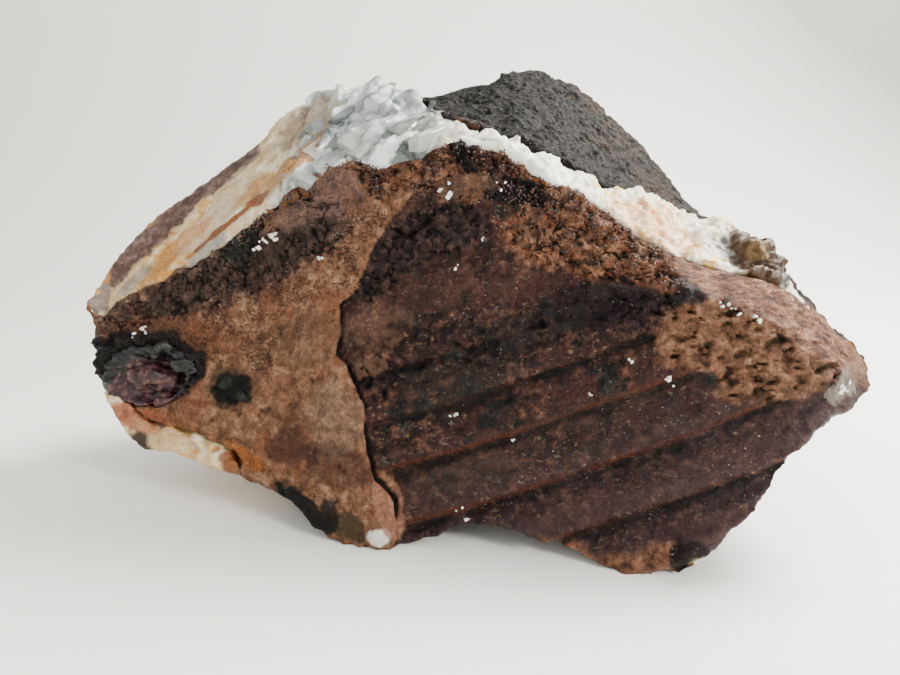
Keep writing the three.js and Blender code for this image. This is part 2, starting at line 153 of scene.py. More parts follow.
@dataclass(frozen=True)
class Dab:
    """A soft spot of colour on a surface, seen from the front: its middle, half sizes, turn and colour."""

    x: float
    z: float
    half_width: float
    half_height: float
    colour: str
    turn: float = 0.0
    strength: float = 1.0
    ragged: float = 0.22


ROCK_DABS = (
    Dab(-68, 122, 26, 10, "#3c302b", 30, 0.75),
    Dab(-120, 100, 30, 8, "#463731", 28, 0.7),
    Dab(-91, 126, 10, 17, "#2c302d", -32),
    Dab(-69, 138, 15, 7, "#93613f", 38),
    Dab(-45, 141, 17, 7, "#806258", 5, 0.9),
    Dab(-138, 84, 22, 4, "#7a4e38", 6, 0.8),
    Dab(-47, 150, 13, 8, "#8d6a59", 15, 0.9),
    Dab(-66, 135, 13, 6, "#86685a", 30, 0.85),
    Dab(-36, 140, 8, 6, "#8a5f4a", 0, 0.8),
    Dab(-88, 30, 12, 4, "#b46a34", -20, 0.85),
    Dab(-112, 36, 14, 4, "#a9714c", -15, 0.7),
    Dab(-128, 42, 12, 4, "#a5653f", -15, 0.7),
    Dab(-47, 51, 14, 17, "#957c66", 10, 0.55),
    Dab(-30, 84, 9, 20, "#84614c", 0, 0.5),
    Dab(-66, 37, 11, 9, "#513028", 20, 0.8),
    Dab(-45, 32, 18, 9, "#54382c", -10, 0.65),
    Dab(-64, 46, 12, 8, "#64432f", -20, 0.5),
    Dab(-75, 60, 22, 8, "#8f6248", -10, 0.6),
    Dab(-104, 80, 20, 7, "#8d5a3c", 0, 0.6),
    Dab(-60, 84, 20, 12, "#7a5843", 20, 0.6),
    Dab(-143, 41, 14, 4, "#a8623f", -10),
    Dab(-60, 12, 15, 7, "#0a0c0b", -35),
    Dab(-40, 8, 10, 6, "#4f3f2a", -15, 0.95),
    Dab(-47, 12, 5, 8, "#0d0d0c", -10, 0.9),
    Dab(-22, 17, 6, 15, "#ad7a5e", 12, 0.85),
    Dab(14, 163, 11, 12, "#181013"),
    Dab(-2, 166, 7, 7, "#5a3524"),
    Dab(30, 146, 16, 7, "#190f13", -8),
    Dab(12, 149, 14, 5, "#7f5f4a", 10, 0.6),
    Dab(22, 158, 10, 6, "#5c3a2c", -25, 0.7),
    Dab(44, 152, 12, 4, "#8a5636", -25, 0.7),
    Dab(92, 122, 7, 6, "#6f4a38", -20, 0.8),
    Dab(66, 101, 24, 11, "#25161b", 6, 0.9),
    Dab(96, 107, 8, 4, "#2a2124", -10, 0.9),
    Dab(84, 113, 12, 5, "#7c4f38", -20, 0.7),
    Dab(96, 8, 7, 7, "#2a1e1c"),
    Dab(98.5, 6, 3, 3.5, "#dcc486"),
    Dab(160, 73, 10, 5, "#bdb3a4", 30, 0.6, 0.6),
    Dab(168, 77, 7, 8, "#8a5a3e", 0, 0.6, 0.4),
    Dab(8, 70, 30, 12, "#2c2a25", 20, 0.5),
    Dab(34, 90, 24, 9, "#262320", 15, 0.5),
    Dab(-5, 104, 22, 9, "#55382e", 15, 0.5),
    Dab(28, 106, 20, 6, "#5a3a30", 10, 0.5),
    Dab(-20, 92, 9, 6, "#63483a", 25, 0.6),
    Dab(10, 32, 26, 6, "#53423a", 20, 0.45),
    Dab(60, 58, 30, 6, "#4f3c34", 20, 0.4),
    Dab(90, 55, 24, 8, "#45302f", 20, 0.5),
    Dab(-96, 59, 13, 10, "#4a4030", 0, 0.6, 0.1),
    Dab(-95, 59, 10.5, 8, "#10140f", 0, 1.0, 0.3),
    Dab(-98, 61, 4, 3, "#343d32", 20, 0.8, 0.5),
    Dab(-91, 56, 3.5, 2.5, "#40463a", 0, 0.7, 0.5),
    Dab(-26, 5, 4.8, 4.2, "#f6f2ea", 0, 1.0, 0.3),
    Dab(-20, 12, 5, 9, "#b9836a", 20, 0.7),
)
VEIN_DABS = (
    Dab(-172, 105, 5, 6, "#cf9f56", 40),
    Dab(-152, 132, 6, 4, "#c09058", 45),
    Dab(-133, 116, 24, 5, "#c68a38", 46, 0.9),
    Dab(-110, 136, 28, 7, "#d8cbae", 42, 0.85),
    Dab(-124, 124, 14, 3, "#cd9c58", 44, 0.7),
    Dab(-72, 156, 22, 5, "#bd8238", 42, 0.9),
    Dab(-90, 146, 14, 5, "#cc9a4e", 42, 0.8),
    Dab(-66, 179, 18, 9, "#ab9478", 35, 0.85),
    Dab(-172, 92, 9, 5, "#857770", 40, 0.9, 0.5),
    Dab(-158, 98, 10, 4, "#d2c49c", 36, 0.9),
    Dab(-152, 103, 12, 3, "#b09c92", 40, 0.7),
    Dab(-112, 117, 18, 3, "#aba79d", 38, 0.9),
    Dab(-104, 128, 22, 1.6, "#8f5226", 38),
    Dab(-86, 142, 8, 3, "#9a5522", 25),
    Dab(-150, 41, 15, 6, "#b06c48", -12),
    Dab(-138, 36, 10, 4, "#c98f66", -12, 0.8),
    Dab(-143, 29, 7, 5, "#40301f", -8),
    Dab(-131, 31, 9, 5, "#d6c292", -8),
    Dab(-91, 27, 11, 8, "#95592e", -25, 1.0, 0.4),
    Dab(-121, 33, 8, 3, "#c9a878", -12, 0.8),
    Dab(92, 132, 24, 8, "#e6c274", -25, 0.55),
    Dab(86, 136, 9, 5, "#d8954a", -30, 0.35, 0.8),
    Dab(126, 121, 7, 6, "#6c7678", -20, 0.85),
    Dab(136, 118, 15, 12, "#482b06", 0, 1.0, 0.15),
    Dab(144, 111, 5, 4, "#15110d", 0, 0.9),
    Dab(132, 120, 5, 4, "#8a6a3a", 0, 0.6),
)


def linear(code: str) -> tuple[float, float, float, float]:
    """Turns an sRGB hex colour into the linear one that shaders take.

    Args:
        code: the colour as "#rrggbb".

    Returns:
        Red, green, blue and a full alpha.
    """
    parts = [int(code[i:i + 2], 16) / 255 for i in (1, 3, 5)]
    return (*(p / 12.92 if p <= 0.04045 else ((p + 0.055) / 1.055) ** 2.4 for p in parts), 1.0)


def smooth(values: np.ndarray, low: float, high: float) -> np.ndarray:
    """Goes from 0 at `low` to 1 at `high` in a soft step."""
    share = np.clip((values - low) / (high - low), 0, 1)
    return share * share * (3 - 2 * share)


def bump(x: np.ndarray, z: np.ndarray, middle: tuple[float, float], reach: tuple[float, float]) -> np.ndarray:
    """Makes a round hill in the front view, 1 at its middle, that falls off over `reach` along X and Z."""
    return np.exp(-(((x - middle[0]) / reach[0]) ** 2 + ((z - middle[1]) / reach[1]) ** 2))


def hashed(cells: np.ndarray, seed: int) -> np.ndarray:
    """Gives each whole-numbered cell its own number from -1 to 1.

    Args:
        cells: cell numbers, three to a row.
        seed: picks one series of numbers.

    Returns:
        One number for each row.
    """
    c = cells.astype(np.int64)
    mixed = (c[..., 0] * 73856093) ^ (c[..., 1] * 19349663) ^ (c[..., 2] * 83492791) ^ (seed * 2654435761)
    mixed = (mixed ^ (mixed >> 13)) * 1274126177 & 0xFFFFFFFF
    mixed = (mixed ^ (mixed >> 16)) * 2246822519 & 0xFFFFFFFF
    return (mixed ^ (mixed >> 15)) / 0x7FFFFFFF - 1.0


def grain(points: np.ndarray, size: float, seed: int, octaves: int = 3) -> np.ndarray:
    """Noise in octaves, about -1 to 1.

    Args:
        points: places in millimetres, three to a row.
        size: width of the largest lumps in millimetres.
        seed: picks one pattern.
        octaves: how many ever finer layers there are.

    Returns:
        One number for each place.
    """
    total = np.zeros(len(points))
    for octave in range(octaves):
        scaled = points / size * 2.03 ** octave + 17.3 * octave
        cell = np.floor(scaled)
        share = scaled - cell
        share = share ** 3 * (share * (share * 6 - 15) + 10)
        layer = np.zeros(len(points))
        for corner in np.ndindex(2, 2, 2):
            weight = np.prod(np.where(corner, share, 1 - share), axis=1)
            layer += weight * hashed(cell + corner, seed + octave)
        total += layer * 0.55 ** octave
    return total


def blocks(
    points: np.ndarray, size: tuple[float, float, float], tilt: float, seed: int,
) -> tuple[np.ndarray, np.ndarray]:
    """Relief of crystal blocks: each point takes the height of its nearest block's tilted flat face.

    Args:
        points: places in millimetres, three to a row.
        size: width of a block along X, Y and Z.
        tilt: how far a face climbs for each millimetre.
        seed: picks one pattern.

    Returns:
        A height of about -1 to 1, plus the tilt, and the block's own tone from 0 to 1.
    """
    scaled = points / np.array(size)
    cell = np.floor(scaled)
    nearest = np.full(len(points), np.inf)
    second = np.full(len(points), np.inf)
    height = np.zeros(len(points))
    tone = np.zeros(len(points))
    for offset in np.ndindex(3, 3, 3):
        near = cell + np.array(offset) - 1
        centre = near + 0.5 + 0.42 * np.stack([hashed(near, seed + i) for i in range(3)], axis=1)
        away = scaled - centre
        distance = (away ** 2).sum(axis=1)
        face = np.stack([hashed(near, seed + 10 + i) for i in range(3)], axis=1)
        climb = (away * np.array(size) * face).sum(axis=1) * tilt
        closer = distance < nearest
        second = np.where(closer, nearest, np.minimum(second, distance))
        nearest = np.where(closer, distance, nearest)
        height = np.where(closer, hashed(near, seed + 20) + climb, height)
        tone = np.where(closer, 0.5 + 0.5 * hashed(near, seed + 30), tone)
    flat = smooth(np.sqrt(second) - np.sqrt(nearest), 0, 0.1)
    return height * flat - 0.3 * (1 - flat), tone


def inside(x: np.ndarray, z: np.ndarray, outline: list[tuple[float, float]]) -> np.ndarray:
    """How far places lie inside an outline in the front view.

    Args:
        x: places to the right, in millimetres.
        z: heights in millimetres.
        outline: the outline's corners in order.

    Returns:
        Distances to the outline, negative outside.
    """
    corners = np.array(outline, dtype=float)
    nearest = np.full(len(x), np.inf)
    crossed = np.zeros(len(x), dtype=bool)
    for (ax, az), (bx, bz) in zip(corners, np.roll(corners, -1, axis=0)):
        dx, dz = bx - ax, bz - az
        share = np.clip(((x - ax) * dx + (z - az) * dz) / (dx * dx + dz * dz), 0, 1)
        nearest = np.minimum(nearest, np.hypot(x - ax - share * dx, z - az - share * dz))
        if dz:
            crossed ^= ((az > z) != (bz > z)) & (x < dx * (z - az) / dz + ax)
    return np.where(crossed, nearest, -nearest)


def along(line: list[tuple[float, float, float]], x: np.ndarray, axis: int) -> np.ndarray:
    """Reads a line's Y (axis 1) or Z (axis 2) at the given X."""
    corners = np.array(line, dtype=float)
    return np.interp(x, corners[:, 0], corners[:, axis])


def painted(points: np.ndarray, front: np.ndarray, dabs: tuple[Dab, ...], seed: int) -> np.ndarray:
    """Lays dabs over each other.

    Args:
        points: places in millimetres.
        front: 1 where a place looks to the front, 0 where it doesn't.
        dabs: the dabs, the last one on top.
        seed: picks the pattern of their uneven edges.

    Returns:
        Red, green, blue and cover for each place.
    """
    paint = np.zeros((len(points), 4))
    ragged = 0.7 * grain(points, 7, seed, 4) + 0.6 * grain(points, 2.6, seed + 9, 2)
    for dab in dabs:
        turn = math.radians(dab.turn)
        x, z = points[:, 0] - dab.x, points[:, 2] - dab.z
        u = (x * math.cos(turn) + z * math.sin(turn)) / dab.half_width
        v = (z * math.cos(turn) - x * math.sin(turn)) / dab.half_height
        cover = smooth(-np.hypot(u, v) - dab.ragged * ragged, -1.1, -0.8) * front * dab.strength
        colour = np.array(linear(dab.colour)[:3])
        kept = paint[:, 3:] * (1 - cover[:, None])
        total = kept + cover[:, None]
        paint[:, :3] = np.where(
            total > 1e-6, (paint[:, :3] * kept + colour * cover[:, None]) / np.maximum(total, 1e-6), 0)
        paint[:, 3] = total[:, 0]
    return paint


@dataclass
class Palette:
    """The node tree of one mineral's material, and the patterns that minerals share."""

    name: str
    material: bpy.types.Material = field(init=False)
    tree: bpy.types.NodeTree = field(init=False)
    place: Socket = field(init=False)

    def __post_init__(self) -> None:
        """Starts the material with the object's own coordinates in millimetres."""
        self.material = bpy.data.materials.new(self.name)
        self.material.use_nodes = True
        self.tree = self.material.node_tree
        self.tree.nodes.remove(self.tree.nodes["Principled BSDF"])
        coordinates = self.add("TexCoord", out="Object")
        self.place = self.add("VectorMath", links={0: coordinates, 3: 1 / MM}, operation="SCALE")

    def add(
        self, kind: str, *values: Socket | float, links: dict[int | str, Socket | float | tuple] | None = None,
        out: int | str = 0, stops: tuple[tuple[float, str], ...] = (), **settings: str | bool,
    ) -> Socket:
        """Adds a shader node, sets it up and links it.

        Args:
            kind: the node's type without "ShaderNode".
            values: the sockets or values that its inputs take, in order.
            links: those of further inputs, by number or name.
            out: the output that is wanted, by number or name.
            stops: a colour ramp's places, from low to high, with their colours as hex.
            settings: the node's own settings.

        Returns:
            The node's output.
        """
        node = self.tree.nodes.new("ShaderNode" + kind)
        for name, value in settings.items():
            setattr(node, name, value)
        for key, value in {**dict(enumerate(values)), **(links or {})}.items():
            if isinstance(value, Socket):
                self.tree.links.new(value, node.inputs[key])
            else:
                node.inputs[key].default_value = value
        if stops:
            elements = node.color_ramp.elements
            elements.remove(elements[1])
            for index, (place, code) in enumerate(stops):
                element = elements.new(place) if index else elements[0]
                element.position = place
                element.color = linear(code)
        return node.outputs[out]

    def clouds(
        self, size: float, detail: float = 4.0, stretch: tuple[float, float, float] = (1, 1, 1),
        turn: tuple[float, float, float] = (0, 0, 0), roughness: float = 0.6,
    ) -> Socket:
        """Makes cloudy noise.

        Args:
            size: width of its lumps in millimetres.
            detail: how many finer layers lie in it.
            stretch: how many times longer the lumps are along each axis.
            turn: turn of those axes in degrees.
            roughness: how strong the finer layers are.

        Returns:
            A number around 0.5 for each place.
        """
        place = self.place
        if stretch != (1, 1, 1) or turn != (0, 0, 0):
            place = self.add("Mapping", place, links={
                "Rotation": tuple(math.radians(t) for t in turn), "Scale": tuple(1 / s for s in stretch)})
        return self.add("TexNoise", place, links={"Scale": 1 / size, "Detail": detail, "Roughness": roughness})

    def over(
        self, below: Socket, above: Socket | tuple, cover: Socket | float, share: float = 1.0, blend: str = "MIX",
    ) -> Socket:
        """Lays one colour over another.

        Args:
            below: the colour below.
            above: the colour laid over it.
            cover: where it lies, from 0 to 1.
            share: how much of it shows there.
            blend: how the two are joined.

        Returns:
            The colour of both.
        """
        if share < 1.0:
            cover = self.add("Math", cover, share, operation="MULTIPLY")
        return self.add("Mix", cover, links={6: below, 7: above}, out=2, data_type="RGBA", blend_type=blend)

    def mottled(
        self, colour: Socket, value: Socket, share: float, greys: tuple[tuple[float, str], ...] = GREYS,
    ) -> Socket:
        """Darkens and lightens a colour by noise, so that it reads as grains and not as paint."""
        return self.over(colour, self.add("ValToRGB", value, stops=greys), share, blend="OVERLAY")

    def patch(self, region: str, ragged: float, soft: float, size: float) -> Socket:
        """Makes the cover of a patch.

        Args:
            region: the attribute that holds the distance inside the patch.
            ragged: how far its edge wanders, in millimetres.
            soft: over how many millimetres the edge blurs.
            size: width of the edge's lobes in millimetres.

        Returns:
            1 inside the patch and 0 outside.
        """
        shift = self.add("Math", self.clouds(size, 5), 2 * ragged, -ragged, operation="MULTIPLY_ADD")
        distance = self.add("Attribute", out="Fac", attribute_name=region)
        distance = self.add("Math", distance, shift, operation="ADD")
        return self.add("MapRange", distance, -soft, soft, interpolation_type="SMOOTHSTEP")

    def done(self, shader: Socket) -> bpy.types.Material:
        """Sends the shader to the output."""
        self.tree.links.new(shader, self.tree.nodes["Material Output"].inputs[0])
        return self.material


@dataclass(frozen=True)
class Basalt:
    """Volcanic rock, broken rough: dull, fine-grained and dark, with rust and salmon weathering on it."""

    name: str = "weathered basalt"
    roughness: float = 0.62

    def material(self) -> bpy.types.Material:
        """Builds the rock's material.

        Returns:
            A material that reads the patches' distances and the dabs from the mesh.
        """
        p = Palette(self.name)
        wide, middle, fine = p.clouds(26, 4), p.clouds(5, 6, roughness=0.68), p.clouds(1.5, 5, roughness=0.7)
        colour = self.face(p, wide, middle, fine)
        colour = self.patches(p, colour, wide, middle, fine)
        dabs = p.add("Attribute", out="Color", attribute_name="dabs")
        mottled = p.mottled(p.mottled(dabs, middle, 0.5), fine, 0.6)
        colour = p.over(colour, mottled, dabs.node.outputs["Alpha"])
        colour = self.specks(p, colour, fine)
        # Hollows and creases gather shade
        deep = p.add(
            "Math", p.add("Attribute", out="Fac", attribute_name="height"),
            p.add("Math", middle, 2.4, -1.2, operation="MULTIPLY_ADD"), operation="ADD")
        colour = p.over(
            colour, linear("#0e0908"), p.add("MapRange", deep, -1.3, -2.6, interpolation_type="SMOOTHSTEP"), 0.75)
        crease = p.add(
            "MapRange", p.add(
                "Math", p.add("Attribute", out="Fac", attribute_name="crease"),
                p.add("Math", fine, 1.0, -0.5, operation="MULTIPLY_ADD"), operation="ADD"), 0.45, 0.8,
            interpolation_type="SMOOTHSTEP")
        colour = p.over(colour, linear("#120b0a"), crease, 0.8)
        # Painted shade: the open crack is painted near-black, as the shade inside it
        colour = p.over(colour, linear("#0b0808"), p.add("Attribute", out="Fac", attribute_name="gap"))
        # Painted highlights: tiny glassy flakes that catch the light, drawn as pale specks about 0.5 mm wide so that
        # they show; their pale colour stands in for the glints
        painted_glint = p.add("Math", p.clouds(10, 4), 0.16, p.clouds(0.9, 2), operation="MULTIPLY_ADD")
        painted_glint = p.add(
            "Math", p.add("MapRange", painted_glint, 0.782, 0.81, interpolation_type="SMOOTHSTEP"),
            p.add("Attribute", out="Fac", attribute_name="glints"), operation="MULTIPLY")
        colour = p.over(colour, linear("#e6ded4"), painted_glint, 0.75)
        roughness = p.add("Math", p.clouds(3.0, 4), 0.6, self.roughness - 0.3, operation="MULTIPLY_ADD")
        roughness = p.add(
            "Math", roughness,
            p.add("Math", p.add("Attribute", out="Fac", attribute_name="glossy"), 0.42, operation="MULTIPLY"),
            operation="SUBTRACT")
        roughness = p.add(
            "Math", roughness, p.add("Math", painted_glint, 0.3, operation="MULTIPLY"), operation="SUBTRACT", use_clamp=True)
        roughness = p.add("Math", roughness, 0.1, operation="MAXIMUM")
        coarse = p.add("Bump", links={"Height": p.clouds(3.6, 6, roughness=0.7), "Distance": 0.004, "Strength": 0.9})
        tiny = p.add("Bump", links={"Height": fine, "Distance": 0.0014, "Strength": 0.9, "Normal": coarse})
        shader = p.add("BsdfPrincipled", links={
            "Base Color": colour, "Roughness": roughness, "IOR": 1.5, "Specular IOR Level": 0.16,
            "Normal": tiny})
        return p.done(shader)

    def face(self, p: Palette, wide: Socket, middle: Socket, fine: Socket) -> Socket:
        """Colours the fluted face: maroon-brown, violet low down, with crusts, crumbs and rusty crests, and light and
        shade painted along each flute.

        Args:
            p: the material's palette.
            wide: noise with lumps of 26 mm.
            middle: noise with lumps of 5 mm.
            fine: noise with lumps of 1.5 mm.

        Returns:
            The face's colour.
        """
        colour = p.add(
            "ValToRGB", middle,
            stops=((0.32, "#0e0808"), (0.42, "#231513"), (0.5, "#3b2521"), (0.56, "#53362c"), (0.66, "#785341")))
        colour = p.over(
            colour, p.add("ValToRGB", fine, stops=((0.35, "#1c1214"), (0.6, "#4a2826"))),
            p.add("MapRange", wide, 0.44, 0.62, interpolation_type="SMOOTHSTEP"))
        # Greenish-black mottles
        mottle = p.add("MapRange", p.clouds(15, 6, roughness=0.7), 0.53, 0.6, interpolation_type="SMOOTHSTEP")
        colour = p.over(
            colour, p.add("ValToRGB", middle, stops=((0.35, "#0c0c0a"), (0.55, "#23211f"), (0.68, "#413d35"))), mottle)
        low = p.add("Math", p.add("Attribute", out="Fac", attribute_name="low"), 0.8, operation="MULTIPLY")
        violet = p.add(
            "ValToRGB", middle, stops=((0.32, "#120b0d"), (0.46, "#281a1c"), (0.56, "#3b2829"), (0.68, "#573d3b")))
        colour = p.over(colour, violet, low)
        # Black glassy crust, thick in the rough upper part of the face
        crust = p.add(
            "Math", p.add("MapRange", p.clouds(6, 7, roughness=0.72), 0.5, 0.56, interpolation_type="SMOOTHSTEP"),
            p.add("Attribute", out="Fac", attribute_name="rough"), operation="MULTIPLY")
        colour = p.over(colour, p.add("ValToRGB", fine, stops=((0.35, "#090708"), (0.65, "#282123"))), crust, 0.85)
        # Tan, grey and olive flecks held in the face, 1 to 3 mm long, in loose clusters
        flecks = p.add(
            "Math",
            p.add("MapRange", p.clouds(1.6, 4, (1.7, 1, 1), (0, -20, 0)), 0.585, 0.62, interpolation_type="SMOOTHSTEP"),
            p.add("MapRange", p.clouds(13, 6, roughness=0.7), 0.43, 0.56, interpolation_type="SMOOTHSTEP"),
            operation="MULTIPLY")
        colour = p.over(
            colour, p.add("ValToRGB", p.clouds(9, 3), stops=((0.35, "#6f6b60"), (0.5, "#836a54"), (0.65, "#94785a"))),
            flecks, 0.62)
        # Black specks, and pinholes painted black as the shade inside them, all over it
        colour = p.over(
            colour, linear("#070405"),
            p.add("MapRange", p.clouds(1.6, 4, roughness=0.7), 0.43, 0.38, interpolation_type="SMOOTHSTEP"), 0.75)
        share = p.add(
            "Math", p.clouds(7, 5), 0.24,
            p.add("Math", p.add("Attribute", out="Fac", attribute_name="flute_share"), -0.12, operation="ADD"),
            operation="MULTIPLY_ADD")
        # Painted light: low on the face, the smooth slope just above each crest is painted lighter, as if lit
        painted_lit_band = p.add(
            "Math", p.add("MapRange", share, 0.95, 0.45, interpolation_type="SMOOTHSTEP"),
            p.add("MapRange", share, 0.1, 0.22, interpolation_type="SMOOTHSTEP"), operation="MULTIPLY")
        painted_lit_band = p.add(
            "Math", painted_lit_band,
            p.add("Math", p.add("Attribute", out="Fac", attribute_name="low"), 0.5, operation="MULTIPLY"),
            operation="MULTIPLY")
        colour = p.over(colour, p.add("ValToRGB", fine, stops=((0.3, "#3a2829"), (0.7, "#584140"))), painted_lit_band)
        # Painted shade: the strip just below each groove is painted near-black
        shade = p.add(
            "Math", p.add("MapRange", share, 0.84, 0.97, interpolation_type="SMOOTHSTEP"),
            p.add("Math", p.add("Attribute", out="Fac", attribute_name="fluted"), 0.65, operation="MULTIPLY"),
            operation="MULTIPLY")
        colour = p.over(colour, linear("#0d0808"), shade)
        line = p.add(
            "Math", p.add("Attribute", out="Fac", attribute_name="flute_line"),
            p.add("MapRange", p.clouds(2.5, 5), 0.28, 0.4, interpolation_type="SMOOTHSTEP"), operation="MULTIPLY")
        return p.over(
            colour, p.add("ValToRGB", fine, stops=((0.3, "#351b13"), (0.6, "#5c3121"), (0.8, "#7a4a30"))), line)

    def patches(self, p: Palette, colour: Socket, wide: Socket, middle: Socket, fine: Socket) -> Socket:
        """Lays the rock's patches over the face, each with its own wandering edge.

        Args:
            p: the material's palette.
            colour: the face's colour.
            wide: noise with lumps of 26 mm.
            middle: noise with lumps of 5 mm.
            fine: noise with lumps of 1.5 mm.

        Returns:
            The colour of face and patches.
        """
        dark = p.add(
            "ValToRGB", middle, stops=((0.32, "#100d0c"), (0.5, "#2e2220"), (0.6, "#4a3531"), (0.7, "#66493c")))
        colour = p.over(colour, dark, p.patch(Region.DARK_TOP.value, 7, 4.0, 9))
        slab = p.add(
            "ValToRGB", middle,
            stops=((0.3, "#452719"), (0.41, "#744c36"), (0.5, "#93674b"), (0.58, "#a87d60"), (0.7, "#cba585")))
        slab = p.over(
            slab, linear("#8a5236"), p.add("MapRange", wide, 0.48, 0.62, interpolation_type="SMOOTHSTEP"), 0.65)
        slab = p.mottled(slab, fine, 0.6, SOFT_GREYS)
        colour = p.over(colour, slab, p.patch(Region.SLAB.value, 1.2, 0.6, 5))
        band = p.add(
            "ValToRGB", middle, stops=((0.3, "#33231a"), (0.42, "#6b4734"), (0.52, "#8d6248"), (0.68, "#b2876d")))
        band = p.mottled(band, fine, 0.6, SOFT_GREYS)
        colour = p.over(colour, band, p.patch(Region.BAND.value, 8, 2.5, 9))
        streak = p.clouds(2.6, 6, (2.6, 1.5, 1), (0, 38, 0), 0.75)
        facet = p.add(
            "ValToRGB", streak, stops=((0.34, "#2a1a14"), (0.43, "#5f3d2d"), (0.52, "#8a5c45"), (0.62, "#b58a72")))
        facet = p.mottled(facet, fine, 0.6, STRONG_GREYS)
        colour = p.over(colour, facet, p.patch(Region.FACET.value, 2, 1.2, 6))
        rust = p.add(
            "ValToRGB", middle,
            stops=((0.3, "#20120b"), (0.42, "#56301f"), (0.5, "#84543b"), (0.58, "#a07054"), (0.7, "#c29a7d")))
        rust = p.mottled(rust, fine, 0.7)
        colour = p.over(colour, rust, p.patch(Region.RUST.value, 7, 2.0, 7))
        colour = p.over(colour, rust, p.patch(Region.FRINGE.value, 6, 2.0, 6))
        upper = p.add(
            "ValToRGB", middle,
            stops=((0.32, "#1a1210"), (0.42, "#45332c"), (0.5, "#664d43"), (0.6, "#836759"), (0.72, "#a08472")))
        upper = p.mottled(upper, fine, 0.7)
        colour = p.over(colour, upper, p.patch(Region.UPPER_DARK.value, 10, 4, 9), 0.9)
        foot = p.add("ValToRGB", middle, stops=((0.34, "#2a1710"), (0.45, "#5c3b2a"), (0.6, "#8a5f46")))
        colour = p.over(colour, foot, p.patch(Region.FOOT.value, 3, 2, 6))
        coal = p.add(
            "ValToRGB", middle, stops=((0.3, "#050506"), (0.5, "#111112"), (0.62, "#23211e"), (0.75, "#4a4034")))
        colour = p.over(colour, coal, p.patch(Region.COAL.value, 3.5, 1.2, 6))
        grey = p.add(
            "ValToRGB", middle, stops=((0.34, "#020202"), (0.45, "#060505"), (0.54, "#0b0a09"), (0.66, "#171412")))
        grey = p.mottled(grey, fine, 0.7)
        # Pores about 1.5 mm wide, painted near-black as the shade inside them
        pore = p.add("MapRange", p.clouds(2.2, 4), 0.46, 0.41, interpolation_type="SMOOTHSTEP")
        grey = p.over(grey, linear("#030303"), pore, 0.85)
        grey = p.over(
            grey, linear("#5e5952"), p.add("MapRange", p.clouds(1.5, 3), 0.6, 0.65, interpolation_type="SMOOTHSTEP"),
            0.5)
        basalt = p.patch(Region.BASALT.value, 2, 1.0, 5)
        colour = p.over(colour, grey, basalt)
        worn = p.add(
            "Math", middle, 0.9,
            p.add("Math", wide, p.add("Attribute", out="Fac", attribute_name="brown"), operation="ADD"),
            operation="MULTIPLY_ADD")
        brown = p.add(
            "Math", basalt, p.add("MapRange", worn, 1.08, 1.26, interpolation_type="SMOOTHSTEP"), operation="MULTIPLY")
        stain = p.add("ValToRGB", fine, stops=((0.34, "#120b08"), (0.5, "#2c1d14"), (0.68, "#553b28")))
        return p.over(colour, stain, brown, 0.75)

    def specks(self, p: Palette, colour: Socket, fine: Socket) -> Socket:
        """Strews needles of dark mineral, about 0.7 mm wide and 2 mm long, and shades the pits.

        Args:
            p: the material's palette.
            colour: the rock's colour.
            fine: noise with lumps of 1.5 mm.

        Returns:
            The colour with needles and pits in it.
        """
        flat = p.clouds(0.85, 3, (2.8, 1, 1), (0, 28, 0))
        steep = p.clouds(0.8, 3, (1, 1, 2.4), (0, 40, 0))
        clumps = p.clouds(3.4, 7, (1.6, 1, 1), (0, 28, 0), roughness=0.8)
        density = p.add(
            "Math", p.clouds(16, 5), 0.5, p.add(
                "Math", p.add("Attribute", out="Fac", attribute_name="needles"), 0.14, -0.34, operation="MULTIPLY_ADD"),
            operation="MULTIPLY_ADD")
        cover = p.add(
            "Math", p.add("Math", flat, density, operation="ADD"), p.add("Math", steep, density, operation="ADD"),
            operation="MAXIMUM")
        cover = p.add(
            "Math", p.add("MapRange", cover, 0.6, 0.68, interpolation_type="SMOOTHSTEP"), p.add(
                "MapRange", p.add("Math", clumps, density, operation="ADD"), 0.59, 0.67,
                interpolation_type="SMOOTHSTEP"), operation="MAXIMUM")
        cover = p.add(
            "Math", cover,
            p.add("Math", p.add("Attribute", out="Fac", attribute_name="needles"), 0.02, operation="GREATER_THAN"),
            operation="MULTIPLY")
        colour = p.over(colour, linear("#2a1913"), cover, 0.8)
        pits = p.add(
            "Math",
            p.add("MapRange", p.clouds(2.0, 3, (1.6, 1, 1), (0, 20, 0)), 0.62, 0.68, interpolation_type="SMOOTHSTEP"),
            p.add("Attribute", out="Fac", attribute_name="pitted"), operation="MULTIPLY")
        pits = p.add("Math", pits, p.add("Attribute", out="Fac", attribute_name="pit"), operation="MAXIMUM")
        return p.over(colour, p.add("ValToRGB", fine, stops=((0.35, "#241a0e"), (0.65, "#63492b"))), pits, 0.85)


